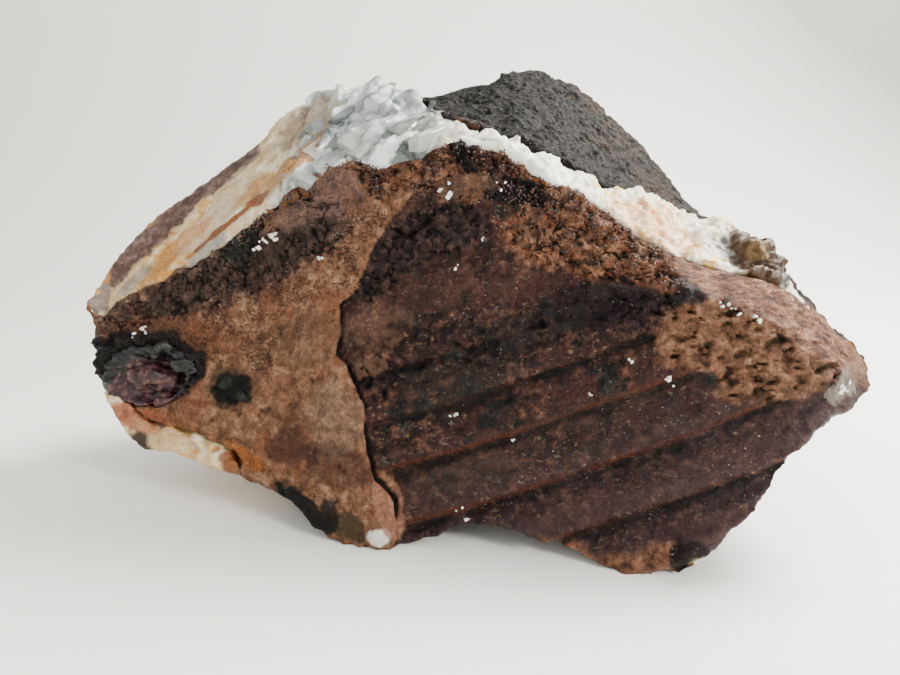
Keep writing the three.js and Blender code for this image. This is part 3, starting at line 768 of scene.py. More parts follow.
@dataclass(frozen=True)
class Calcite:
    """Calcite and massive quartz: pale, waxy and a little see-through, so light softens its edges."""

    name: str = "cream calcite"

    def material(self) -> bpy.types.Material:
        """Builds the vein's material.

        Returns:
            A material that reads the share of quartz and the dabs from the mesh.
        """
        p = Palette(self.name)
        middle = p.clouds(7, 5)
        fine = p.clouds(1.5, 4)
        colour = p.add(
            "ValToRGB", middle, stops=((0.32, "#98805a"), (0.45, "#bfa67a"), (0.55, "#d3c29c"), (0.68, "#e8dec6")))
        streak = p.clouds(4, 4, (6, 2, 1), (0, -41, 0))
        honey = p.add(
            "Math", p.add("Attribute", out="Fac", attribute_name="honey"),
            p.add("MapRange", streak, 0.42, 0.6, interpolation_type="SMOOTHSTEP"), operation="MULTIPLY")
        colour = p.over(colour, p.add("ValToRGB", fine, stops=((0.3, "#a36a26"), (0.7, "#dba04a"))), honey)
        white = p.add(
            "ValToRGB", middle, stops=((0.3, "#b9b1a3"), (0.42, "#dcd7cc"), (0.55, "#efece5"), (0.7, "#f8f6f1")))
        colour = p.over(colour, white, p.add("Attribute", out="Fac", attribute_name="white"))
        peach = p.add(
            "Math", p.add("Attribute", out="Fac", attribute_name="peach"),
            p.add("MapRange", p.clouds(9, 5), 0.46, 0.62, interpolation_type="SMOOTHSTEP"), operation="MULTIPLY")
        colour = p.over(
            colour, p.add("ValToRGB", fine, stops=((0.3, "#a8803c"), (0.5, "#dcb86c"), (0.7, "#f0dca8"))), peach)
        depth = p.add(
            "Math", p.clouds(8, 6), 0.6,
            p.add("Math", p.add("Attribute", out="Fac", attribute_name="tone"), 0.7, -0.15, operation="MULTIPLY_ADD"),
            operation="MULTIPLY_ADD")
        quartz = p.add(
            "ValToRGB", depth, stops=((0.22, "#4f5755"), (0.38, "#7b8381"), (0.52, "#acb1ae"), (0.7, "#ecedea")))
        colour = p.over(colour, quartz, p.add("Attribute", out="Fac", attribute_name="quartz"))
        skin = p.add(
            "ValToRGB", p.clouds(5, 6, roughness=0.7),
            stops=((0.32, "#231410"), (0.46, "#463029"), (0.58, "#624a40"), (0.7, "#8a756a")))
        colour = p.over(colour, skin, p.patch("strip", 5, 1.5, 7))
        dabs = p.add("Attribute", out="Color", attribute_name="dabs")
        mottled = p.mottled(p.mottled(dabs, middle, 0.5, SOFT_GREYS), fine, 0.5, SOFT_GREYS)
        colour = p.over(colour, mottled, dabs.node.outputs["Alpha"])
        specks = p.add(
            "Math", p.add("MapRange", p.clouds(1.3, 3), 0.64, 0.7, interpolation_type="SMOOTHSTEP"),
            p.add("Attribute", out="Fac", attribute_name="specks"), operation="MULTIPLY")
        colour = p.over(colour, linear("#5a4033"), specks)
        roughness = p.add("Math", fine, 0.3, 0.3, operation="MULTIPLY_ADD")
        roughness = p.add(
            "Math", roughness,
            p.add("Math", p.add("Attribute", out="Fac", attribute_name="quartz"), 0.32, operation="MULTIPLY"),
            operation="SUBTRACT", use_clamp=True)
        coarse = p.add("Bump", links={"Height": middle, "Distance": 0.0012, "Strength": 0.5})
        tiny = p.add("Bump", links={
            "Height": p.clouds(0.8, 4), "Distance": 0.0005, "Strength": 0.6, "Normal": coarse})
        shader = p.add("BsdfPrincipled", links={
            "Base Color": colour, "Roughness": roughness, "IOR": 1.55, "Specular IOR Level": 0.3, "Normal": tiny,
            "Subsurface Weight": 0.12, "Subsurface Radius": (1.0, 0.9, 0.75), "Subsurface Scale": 0.002})
        return p.done(shader)


@dataclass(frozen=True)
class MilkyQuartz:
    """Quartz crystals with a milky inside: glassy faces, cloudy white depth and clearer edges."""

    name: str = "milky quartz"

    def material(self) -> bpy.types.Material:
        """Builds the crystals' material.

        Returns:
            A partly clear material with cloudy patches.
        """
        p = Palette(self.name)
        clouds = p.clouds(8, 5)
        depth = p.add(
            "Math", p.add("Attribute", out="Fac", attribute_name="tone"), 0.5,
            p.add("Math", clouds, 0.8, -0.15, operation="MULTIPLY_ADD"), operation="MULTIPLY_ADD")
        colour = p.add("ValToRGB", depth, stops=((0.28, "#8b9492"), (0.48, "#c3c9c6"), (0.68, "#f6f7f4")))
        roughness = p.add("Math", p.clouds(3, 4), 0.3, 0.0, operation="MULTIPLY_ADD")
        relief = p.add("Bump", links={"Height": p.clouds(2.4, 3), "Distance": 0.0003, "Strength": 0.4})
        shader = p.add("BsdfPrincipled", links={
            "Base Color": colour, "Roughness": roughness, "IOR": 1.54, "Normal": relief,
            "Transmission Weight": 0.7, "Subsurface Weight": 0.15,
            "Subsurface Radius": (1.0, 1.0, 1.0), "Subsurface Scale": 0.004})
        return p.done(shader)


@dataclass(frozen=True)
class PocketMineral:
    """Hematite and dark red crystals: near black, wet-looking, with maroon where the light goes in."""

    name: str = "dark red and black crystal"

    def material(self) -> bpy.types.Material:
        """Builds the pocket's material.

        Returns:
            A material that reads from the mesh where the maroon lump lies.
        """
        p = Palette(self.name)
        middle = p.clouds(4, 5)
        fine = p.clouds(1.4, 4)
        black = p.add(
            "ValToRGB", middle, stops=((0.3, "#040405"), (0.5, "#0d0d0e"), (0.64, "#1f1d1b"), (0.78, "#3e362d")))
        maroon = p.add(
            "ValToRGB", middle, stops=((0.3, "#100708"), (0.46, "#2c171a"), (0.56, "#46292b"), (0.68, "#6d5048")))
        cover = p.add(
            "MapRange", p.add(
                "Math", p.add("Attribute", out="Fac", attribute_name="lump"),
                p.add("Math", middle, 0.8, -0.4, operation="MULTIPLY_ADD"), operation="ADD"), 0.35, 0.6,
            interpolation_type="SMOOTHSTEP")
        colour = p.over(black, maroon, cover)
        roughness = p.add(
            "Math", fine, 0.5, p.add("Math", cover, -0.1, operation="MULTIPLY"), operation="MULTIPLY_ADD",
            use_clamp=True)
        relief = p.add("Bump", links={"Height": p.clouds(2.2, 5), "Distance": 0.001, "Strength": 0.7})
        shader = p.add("BsdfPrincipled", links={
            "Base Color": colour, "Roughness": roughness, "IOR": 1.5, "Specular IOR Level": 0.35,
            "Normal": relief})
        return p.done(shader)


@dataclass(frozen=True)
class IronCrust:
    """Grains of iron oxide on the rim: rust-brown, sugary, each grain with a small glint."""

    name: str = "iron oxide grains"

    def material(self) -> bpy.types.Material:
        """Builds the grains' material.

        Returns:
            A plain rusty material that changes from grain to grain.
        """
        p = Palette(self.name)
        colour = p.add(
            "ValToRGB", p.clouds(5, 5),
            stops=((0.3, "#1a100c"), (0.45, "#38231a"), (0.6, "#573a2b"), (0.75, "#7a5540")))
        relief = p.add("Bump", links={"Height": p.clouds(0.7, 3), "Distance": 0.0004, "Strength": 0.7})
        shader = p.add("BsdfPrincipled", links={
            "Base Color": colour, "Roughness": 0.5, "IOR": 1.6, "Normal": relief})
        return p.done(shader)


def deselect() -> None:
    """Clears the selection, so that operators act only on what is picked next."""
    if bpy.context.mode != "OBJECT":
        bpy.ops.object.mode_set(mode="OBJECT")
    bpy.ops.object.select_all(action="DESELECT")


def pick(piece: bpy.types.Object) -> None:
    """Makes one object the only selected and the active one.

    Args:
        piece: the object.
    """
    deselect()
    piece.select_set(True)
    bpy.context.view_layer.objects.active = piece


def copy_of(node: str, name: str) -> bpy.types.Object:
    """Copies a solid of the model and joins its loose triangles.

    Args:
        node: the solid's name.
        name: the copy's name.

    Returns:
        The copy, with its own mesh and no material.
    """
    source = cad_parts[node]
    mesh = source.data.copy()
    mesh.materials.clear()
    piece = new_piece(name, mesh)
    pick(piece)
    bpy.ops.object.mode_set(mode="EDIT")
    bpy.ops.mesh.select_all(action="SELECT")
    bpy.ops.mesh.remove_doubles(threshold=1e-5)
    bpy.ops.object.mode_set(mode="OBJECT")
    return piece


def remesh(piece: bpy.types.Object, voxel: float) -> None:
    """Gives a piece an even net of faces, and rubs off the net's steps.

    Args:
        piece: the piece.
        voxel: width of the faces in millimetres.
    """
    pick(piece)
    modifier = piece.modifiers.new("even net", "REMESH")
    modifier.mode = "VOXEL"
    modifier.voxel_size = voxel * MM
    modifier.use_smooth_shade = True
    bpy.ops.object.modifier_apply(modifier=modifier.name)
    bpy.ops.object.mode_set(mode="EDIT")
    bpy.ops.mesh.select_all(action="SELECT")
    bpy.ops.mesh.vertices_smooth(factor=0.5, repeat=3)
    bpy.ops.object.mode_set(mode="OBJECT")


def faces_of(piece: bpy.types.Object) -> tuple[np.ndarray, np.ndarray]:
    """Reads the faces of a mesh.

    Args:
        piece: the object that has the mesh.

    Returns:
        The faces' middles in millimetres, and their normals.
    """
    faces = piece.data.polygons
    centres, normals = np.empty(len(faces) * 3), np.empty(len(faces) * 3)
    faces.foreach_get("center", centres)
    faces.foreach_get("normal", normals)
    return centres.reshape(-1, 3) / MM, normals.reshape(-1, 3)


def pick_faces(piece: bpy.types.Object, chosen: Callable[[np.ndarray, np.ndarray], np.ndarray]) -> None:
    """Selects faces and opens the piece for editing.

    Args:
        piece: the piece.
        chosen: takes the faces' middles in millimetres and their normals, and tells which ones to select.
    """
    pick(piece)
    bpy.ops.object.mode_set(mode="EDIT")
    bpy.ops.mesh.select_mode(type="FACE")
    bpy.ops.mesh.select_all(action="DESELECT")
    bpy.ops.object.mode_set(mode="OBJECT")
    piece.data.polygons.foreach_set("select", chosen(*faces_of(piece)))
    bpy.ops.object.mode_set(mode="EDIT")


def refine(piece: bpy.types.Object, chosen: Callable[[np.ndarray, np.ndarray], np.ndarray]) -> None:
    """Halves faces along each side.

    Args:
        piece: the piece.
        chosen: tells from their middles and normals which faces these are.
    """
    pick_faces(piece, chosen)
    bpy.ops.mesh.subdivide(number_cuts=1, smoothness=0.4)
    bpy.ops.mesh.select_all(action="SELECT")
    bpy.ops.mesh.quads_convert_to_tris()
    bpy.ops.object.mode_set(mode="OBJECT")


def points_of(piece: bpy.types.Object) -> tuple[np.ndarray, np.ndarray]:
    """Reads the points of a mesh.

    Args:
        piece: the object that has the mesh.

    Returns:
        The points' places in millimetres, and their normals.
    """
    count = len(piece.data.vertices)
    places, normals = np.empty(count * 3), np.empty(count * 3)
    piece.data.vertices.foreach_get("co", places)
    piece.data.vertices.foreach_get("normal", normals)
    return places.reshape(-1, 3) / MM, normals.reshape(-1, 3)


def move_points(piece: bpy.types.Object, places: np.ndarray) -> None:
    """Puts a mesh's points at new places, with flat feet and nothing under the ground.

    Args:
        piece: the piece.
        places: the places in millimetres.
    """
    places = places.copy()
    places[:, 2] = np.where(places[:, 2] < FLAT_BELOW, 0.0, places[:, 2])
    piece.data.vertices.foreach_set("co", (places * MM).ravel())
    piece.data.update()


def rub_off_spikes(piece: bpy.types.Object, before: np.ndarray, limit: float) -> None:
    """Moves folded points, and points far from their neighbours, onto their neighbours' middle.

    Args:
        piece: the piece whose points were moved.
        before: the points' normals from before that.
        limit: how far in millimetres a point may stand from its neighbours' middle.
    """
    ends = np.empty(len(piece.data.edges) * 2, dtype=np.int64)
    piece.data.edges.foreach_get("vertices", ends)
    ends = ends.reshape(-1, 2)
    for _ in range(6):
        places, normals = points_of(piece)
        total, count = np.zeros_like(places), np.zeros(len(places))
        for one, other in ((0, 1), (1, 0)):
            np.add.at(total, ends[:, one], places[ends[:, other]])
            np.add.at(count, ends[:, one], 1)
        middle = total / np.maximum(count, 1)[:, None]
        folded = (normals * before).sum(axis=1) < 0.1
        near_fold = np.zeros(len(places), dtype=bool)
        near_fold[ends[folded[ends].any(axis=1)]] = True
        loose = near_fold | (np.linalg.norm(places - middle, axis=1) > limit)
        move_points(piece, np.where(loose[:, None], middle, places))


def keep(piece: bpy.types.Object, name: str, values: np.ndarray) -> None:
    """Stores values for a mesh's points, which its material reads.

    Args:
        piece: the piece.
        name: the attribute's name.
        values: a number, or four for a colour, for each point.
    """
    kind, key = ("FLOAT_COLOR", "color") if values.ndim == 2 else ("FLOAT", "value")
    attribute = piece.data.attributes.new(name, kind, "POINT")
    attribute.data.foreach_set(key, values.astype(np.float32).ravel())


def settle(piece: bpy.types.Object, material: bpy.types.Material, slot: str, *nodes: str) -> None:
    """Dresses a finished piece and sets it in the model's frame.

    Args:
        piece: the finished piece.
        material: its material.
        slot: the record's material slot; not used.
        nodes: the solids it stands for.
    """
    piece.data.materials.clear()
    piece.data.materials.append(material)
    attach(piece, "root")
    if nodes:
        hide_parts(*nodes)
    log.info("%s: %d faces", piece.name, len(piece.data.polygons))


def new_piece(name: str, mesh: bpy.types.Mesh) -> bpy.types.Object:
    """Puts a mesh into the scene.

    Args:
        name: the new object's name.
        mesh: its mesh.

    Returns:
        The object, at the origin.
    """
    piece = bpy.data.objects.new(name, mesh)
    bpy.context.scene.collection.objects.link(piece)
    return piece


def struck_block(cuts: list[tuple[Vector, float]], bevel: float = 0.0) -> bpy.types.Mesh:
    """Models a block, 2 units wide, with slices struck off it.

    Args:
        cuts: for each slice, the way it faces and how far it lies from the middle.
        bevel: width of the worn edges, 0 for none.

    Returns:
        The block's mesh.
    """
    deselect()
    bpy.ops.mesh.primitive_cube_add(size=2, location=(0, 0, 0))
    block = bpy.context.active_object
    bpy.ops.object.mode_set(mode="EDIT")
    for direction, reach in cuts:
        bpy.ops.mesh.select_all(action="SELECT")
        bpy.ops.mesh.bisect(plane_co=direction * reach, plane_no=direction, use_fill=True, clear_outer=True)
    bpy.ops.mesh.select_all(action="SELECT")
    if bevel:
        bpy.ops.mesh.bevel(offset=bevel, segments=1)
    bpy.ops.mesh.normals_make_consistent(inside=False)
    bpy.ops.object.mode_set(mode="OBJECT")
    mesh = block.data
    bpy.data.objects.remove(block)
    return mesh


def joined(parts: list[bpy.types.Object], name: str) -> bpy.types.Object:
    """Joins objects into the first of them.

    Args:
        parts: the objects.
        name: the name of what they become.

    Returns:
        The one object.
    """
    deselect()
    for part in parts:
        part.select_set(True)
    bpy.context.view_layer.objects.active = parts[0]
    bpy.ops.object.join()
    piece = bpy.context.active_object
    piece.name = name
    return piece


@dataclass
class HostRock:
    """The rock: fluted face, slab, crusts, pitted band and grey hump. Sizes are in millimetres."""

    voxel: float = 2.1
    groove_share: float = 0.1  # of the faces that the vein covers, how many stay
    back_share: float = 0.42  # the same for those behind and below
    flute_depth: float = 3.4
    gap_depth: float = 2.8
    pit_depth: float = 1.6
    spike_limit: float = 1.9
    finish: Basalt = field(default_factory=Basalt)

    def build(self) -> bpy.types.Object:
        """Builds, shapes and dresses the rock.

        Returns:
            The finished rock.
        """
        piece = copy_of("host_rock", "rock_surface")
        remesh(piece, self.voxel)
        self.thin_out(piece)
        refine(piece, lambda centres, normals: self.shown(centres) & (normals[:, 1] < -0.2) & (normals[:, 2] > -0.6))
        places, normals = points_of(piece)
        fields = self.regions(places, normals)
        heights = self.relief(places, fields)
        move_points(piece, places + normals * heights[:, None])
        rub_off_spikes(piece, normals, self.spike_limit)
        fields["height"] = heights - 0.4
        for name, values in fields.items():
            keep(piece, name, values)
        settle(piece, self.finish.material(), "host_rock", "host_rock")
        return piece

    def shown(self, centres: np.ndarray) -> np.ndarray:
        """Tells which faces lie outside the groove that the vein fills."""
        vein = BVHTree.FromObject(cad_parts["quartz_calcite_vein"], bpy.context.evaluated_depsgraph_get())
        return np.array([vein.find_nearest(Vector(c) * MM, 1.8 * MM)[0] is None for c in centres])

    def thin_out(self, piece: bpy.types.Object) -> None:
        """Leaves fewer faces in the vein's groove, and some fewer at the back and under the rock.

        Args:
            piece: the rock.
        """
        for share, chosen in (
            (self.groove_share, lambda centres, normals: ~self.shown(centres)),
            (self.back_share, lambda centres, normals: (
                (normals[:, 1] > -0.1) | (normals[:, 2] < -0.7)) & self.shown(centres)),
        ):
            pick_faces(piece, chosen)
            bpy.ops.mesh.decimate(ratio=share)
            bpy.ops.object.mode_set(mode="OBJECT")

    def regions(self, places: np.ndarray, normals: np.ndarray) -> dict[str, np.ndarray]:
        """Works out where each patch of the rock lies.

        Args:
            places: the points in millimetres.
            normals: their normals.

        Returns:
            Values for each point, by attribute name.
        """
        x, y, z = places.T
        # The hump begins 7 mm before the crest line, but behind the whole of the rust-capped peak
        behind = y - (along(CREST, x, 1) - 7) - 17 * bump(x, z, (9, 176), (14, 10))
        front_mm = -behind
        front = smooth(front_mm, -2, 3)
        fields = {}
        outlines = {
            Region.SLAB: SLAB, Region.DARK_TOP: DARK_TOP, Region.RUST: RUST, Region.FRINGE: FRINGE,
            Region.UPPER_DARK: UPPER_DARK, Region.BAND: BAND, Region.FACET: FACET, Region.FOOT: FOOT,
            Region.COAL: COAL,
        }
        for region, outline in outlines.items():
            fields[region.value] = np.minimum(inside(x, z, outline), front_mm + 4)
        fields[Region.BASALT.value] = np.maximum(behind, 8 - 60 * smooth(-normals[:, 2], 0.9, 0.4)
                                                 - 100 * (z > 30) - 60 * (y < -20))
        fields["brown"] = 0.26 * smooth(x + 0.4 * z, 125, 165) * smooth(y, -30, 10)
        height = z - FLUTE_RISE * (x - FLUTE_MIDDLE) - 0.0006 * (x - 20) ** 2
        levels = np.array(GROOVES, dtype=float)
        above = np.clip(np.searchsorted(levels, height + 1.5 * grain(places, 24, 5, 2)), 1, len(levels) - 1)
        share = np.clip((height - levels[above - 1]) / (levels[above] - levels[above - 1]), 0, 1)
        outside = (smooth(-fields[Region.SLAB.value], 0, 5) * smooth(-fields[Region.BAND.value], -2, 3)
                   * smooth(-fields[Region.RUST.value], -2, 4) * smooth(-fields[Region.FACET.value], 0, 3))
        fluted = front * outside * (0.25 + 0.75 * smooth(105 - height - 0.1 * x, 0, 40))
        fields["fluted"] = fluted
        fields["flute_share"] = share
        rust = np.array(CREST_RUST)[above - 1]
        broken = smooth(grain(places * np.array([1, 1, 2]), 30, 8, 3), -0.75, -0.1)
        fields["flute_line"] = fluted * rust * np.exp(-((share - 0.1) / 0.062) ** 2) * broken
        fields["low"] = fluted * smooth(-height, -50, 10)
        slab_edge = fields[Region.SLAB.value]
        # An open crack, about 2 mm wide, between the slab and the fluted face; the material paints it near-black as
        # shade
        crack = smooth(-np.abs(slab_edge + 1.0 + 0.5 * grain(places, 5, 18, 2)), -1.1, -0.3)
        fields["gap"] = (front * crack * smooth(-normals[:, 1], 0.1, 0.4) * smooth(112 - z, 0, 10)
                         * smooth(grain(places, 9, 9, 2), -0.7, 0.2))
        in_band = smooth(fields[Region.BAND.value], -2, 2)
        thick = 0.42 + 0.35 * smooth(z - 0.2 * x, 60, 120) + 0.25 * smooth(grain(places, 32, 10, 2), -0.1, 0.4)
        pale = bump(x, z, (-47, 52), (17, 17))
        fields["needles"] = front * np.clip(smooth(slab_edge, 0, 3) * (thick - 0.75 * pale) + 0.3 * in_band, 0, 1)
        fields["pitted"] = front * in_band * smooth(grain(places, 16, 11, 2), -0.6, 0.1)
        pit = np.zeros(len(x))
        dice = np.random.default_rng(51)
        small = [(dice.uniform(88, 154), dice.uniform(68, 106), dice.uniform(*SMALL_PIT_WIDTHS))
                 for _ in range(SMALL_PITS)]
        for px, pz, width in (*PITS, *small):
            away = np.hypot((x - px) / 1.6, (z - pz - 0.28 * (x - px)) * 1.7) + 0.9 * grain(places, 3.5, 51, 3)
            pit = np.maximum(pit, smooth(-away, -0.3 * width, -0.16 * width))
        fields["pit"] = pit * smooth(fields[Region.BAND.value], -4, 0)
        coal = smooth(fields[Region.COAL.value], -2, 2)
        rough = fluted * smooth(height + 0.12 * x + 10 * grain(places, 30, 14, 2), 62, 84)
        rough = np.maximum(rough, smooth(fields[Region.DARK_TOP.value], -3, 2))
        crusts = [Region.RUST, Region.FRINGE, Region.UPPER_DARK]
        knobby = np.maximum.reduce([rough] + [smooth(fields[r.value], -3, 2) for r in crusts])
        fields["rough"] = rough
        calm = np.maximum.reduce([
            smooth(-np.hypot((x - cx) / width, (z - cz) / tall) - 0.15 * grain(places, 7, 17, 2), -1.1, -0.8)
            for cx, cz, width, tall in CALM])
        fields["calm"] = calm
        veins = np.minimum(np.abs(grain(places, 9, 15, 3)), np.abs(grain(places * np.array([0.7, 1, 1.3]), 6, 16, 3)))
        fields["crease"] = smooth(-veins, -0.16, -0.02) * np.clip(0.15 + knobby - calm, 0, 1) * front
        fields["glossy"] = np.maximum(fluted * (0.35 + 0.65 * smooth(grain(places, 22, 12, 2), -0.1, 0.4)), coal)
        # Where the material paints pale specks as glints, a painted highlight
        fields["glints"] = front * (1 - 0.7 * smooth(slab_edge, 0, 3)) * (0.5 + 0.5 * grain(places, 20, 13, 2))
        fields["dabs"] = painted(places, front, ROCK_DABS, 31)
        return fields

    def relief(self, places: np.ndarray, fields: dict[str, np.ndarray]) -> np.ndarray:
        """Works out how far each point stands out of the plain shape.

        Args:
            places: the points in millimetres.
            fields: the patches' values for them.

        Returns:
            Heights in millimetres.
        """
        x, y, z = places.T
        basalt = smooth(fields[Region.BASALT.value], -2, 2)
        rust = np.maximum(smooth(fields[Region.RUST.value], -3, 3), smooth(fields[Region.FRINGE.value], -2, 3))
        rust = np.maximum(rust, 0.7 * smooth(fields[Region.UPPER_DARK.value], -4, 4))
        coal = smooth(fields[Region.COAL.value], -2, 1)
        slab = smooth(fields[Region.SLAB.value], -1, 1) * (1 - rust)
        band = smooth(fields[Region.BAND.value], -3, 1)
        rest = (1 - basalt) * (1 - rust) * (1 - slab)
        rough = fields["rough"]
        # Each patch has its own broken surface, from lumps of about 10 mm and of about 3 mm
        height = rest * ((0.5 + 1.3 * rough) * grain(places, 8, 41) + (0.45 + 0.9 * rough) * grain(places, 3.2, 42))
        height += basalt * (1.2 * grain(places, 12, 43) + 0.8 * grain(places, 3.0, 44))
        height -= basalt * 0.8 * smooth(grain(places, 3.0, 45, 2), 0.3, 0.7)
        rim = smooth(z - along(RIM, x, 2), -9, -1)
        rust = rust * (1 - 0.85 * fields["calm"])
        height += rust * ((1.5 - 0.6 * rim) * grain(places, 7, 46) + (1.3 - 0.4 * rim) * grain(places, 2.8, 47))
        height += rust * rim * 2.2 * grain(places, 21, 54, 2)
        height += 4.0 * bump(x, z, PEAK, (13, 11)) * rust
        height += slab * (1.2 * grain(places, 16, 48) + 0.6 * grain(places, 3.4, 49))
        height += coal * (2.6 * np.abs(grain(places * np.array([0.5, 1, 1.5]), 6, 53)) - 0.6)
        height -= fields["crease"] * (0.6 + 1.0 * np.maximum(rough, rust))
        # Flutes rise steeply from a groove to a sharp crest and fall off slowly to the next groove
        share = fields["flute_share"]
        tooth = np.where(share < 0.14, 1 - share / 0.14, ((share - 0.14) / 0.86) ** 2)
        height -= fields["fluted"] * self.flute_depth * (tooth - 0.35)
        ripple = np.sin((z - FLUTE_RISE * x) * 2 * math.pi / 7.3 + 2.5 * grain(places, 25, 50, 2))
        height += fields["fluted"] * 0.2 * ripple
        # The white crystal at the foot of the slab, and the lumpy green spot beside the pocket
        height += 2.0 * bump(x, z, (-26, 5), (5, 4.5)) * (z > 1)
        spot = smooth(-np.hypot((x - GREEN_SPOT[0]) / 11, (z - GREEN_SPOT[1]) / 9), -1.1, -0.7) * smooth(-y, 0, 20)
        height += spot * (2.4 * np.abs(grain(places * np.array([0.8, 1, 1.2]), 4, 55, 3)) - 0.5)
        height -= self.gap_depth * fields["gap"]
        height -= self.pit_depth * fields["pit"]
        height -= band * 1.5 * smooth(grain(places * np.array([0.7, 1, 1]), 3.6, 52, 2), 0.3, 0.65)
        return height


@dataclass
class RimGrains:
    """Sugary grains of iron oxide that stand on the rim and on the rust crust."""

    count: int = 3000
    size: float = 0.55  # half a grain's width in millimetres
    shares: tuple[tuple[Region, float], ...] = (
        (Region.RUST, 1.0), (Region.FRINGE, 1.0), (Region.UPPER_DARK, 0.02))
    finish: IronCrust = field(default_factory=IronCrust)

    def build(self, rock: bpy.types.Object) -> None:
        """Strews copies of one grain over the rock's crusts.

        Args:
            rock: the finished rock, which holds the crusts' distances.
        """
        places, normals = points_of(rock)
        cover = np.zeros(len(places))
        for region, share in self.shares:
            values = np.empty(len(places))
            rock.data.attributes[region.value].data.foreach_get("value", values)
            cover = np.maximum(cover, share * smooth(values + 3 * grain(places, 6, 91, 2), -2.5, 2))
        cover *= 0.1 + 0.9 * smooth(grain(places, 7, 92, 2), -0.2, 0.5)
        chance = np.random.default_rng(93).random(len(places))
        chosen = np.argsort(chance / np.maximum(cover, 1e-6))[:self.count]
        deselect()
        bpy.ops.mesh.primitive_ico_sphere_add(subdivisions=1, radius=1, location=(0, 0, 0))
        grain_object = bpy.context.active_object
        bpy.ops.object.mode_set(mode="EDIT")
        bpy.ops.mesh.select_all(action="SELECT")
        bpy.ops.mesh.bisect(plane_co=(0, 0, -0.5), plane_no=(0, 0, -1), use_fill=True, clear_outer=True)
        bpy.ops.object.mode_set(mode="OBJECT")
        shape = np.array([v.co[:] for v in grain_object.data.vertices])
        faces = [list(f.vertices) for f in grain_object.data.polygons]
        bpy.data.objects.remove(grain_object)
        corners, sides = [], []
        for number, index in enumerate(chosen):
            r = hashed(np.array([[number, i, 5] for i in range(5)]), 94)
            up = Vector(normals[index]).to_track_quat("Z", "Y").to_matrix()
            turn = Euler((0.5 * r[0], 0.5 * r[1], 3.1 * r[2])).to_matrix()
            sizes = np.array([1, 0.7 + 0.2 * r[3], 1.0 + 0.5 * r[4]]) * self.size * (1 + 0.35 * r[0])
            matrix = np.array(up @ turn)
            aside = np.array(up @ Vector((1.3 * r[3], 1.3 * r[4], -0.1)))
            corners.append((shape * sizes) @ matrix.T + places[index] + aside)
            sides.extend([[v + number * len(shape) for v in face] for face in faces])
        mesh = bpy.data.meshes.new("rim_grains")
        mesh.from_pydata(np.concatenate(corners) * MM, [], sides)
        settle(new_piece("rim_grains", mesh), self.finish.material(), "host_rock")


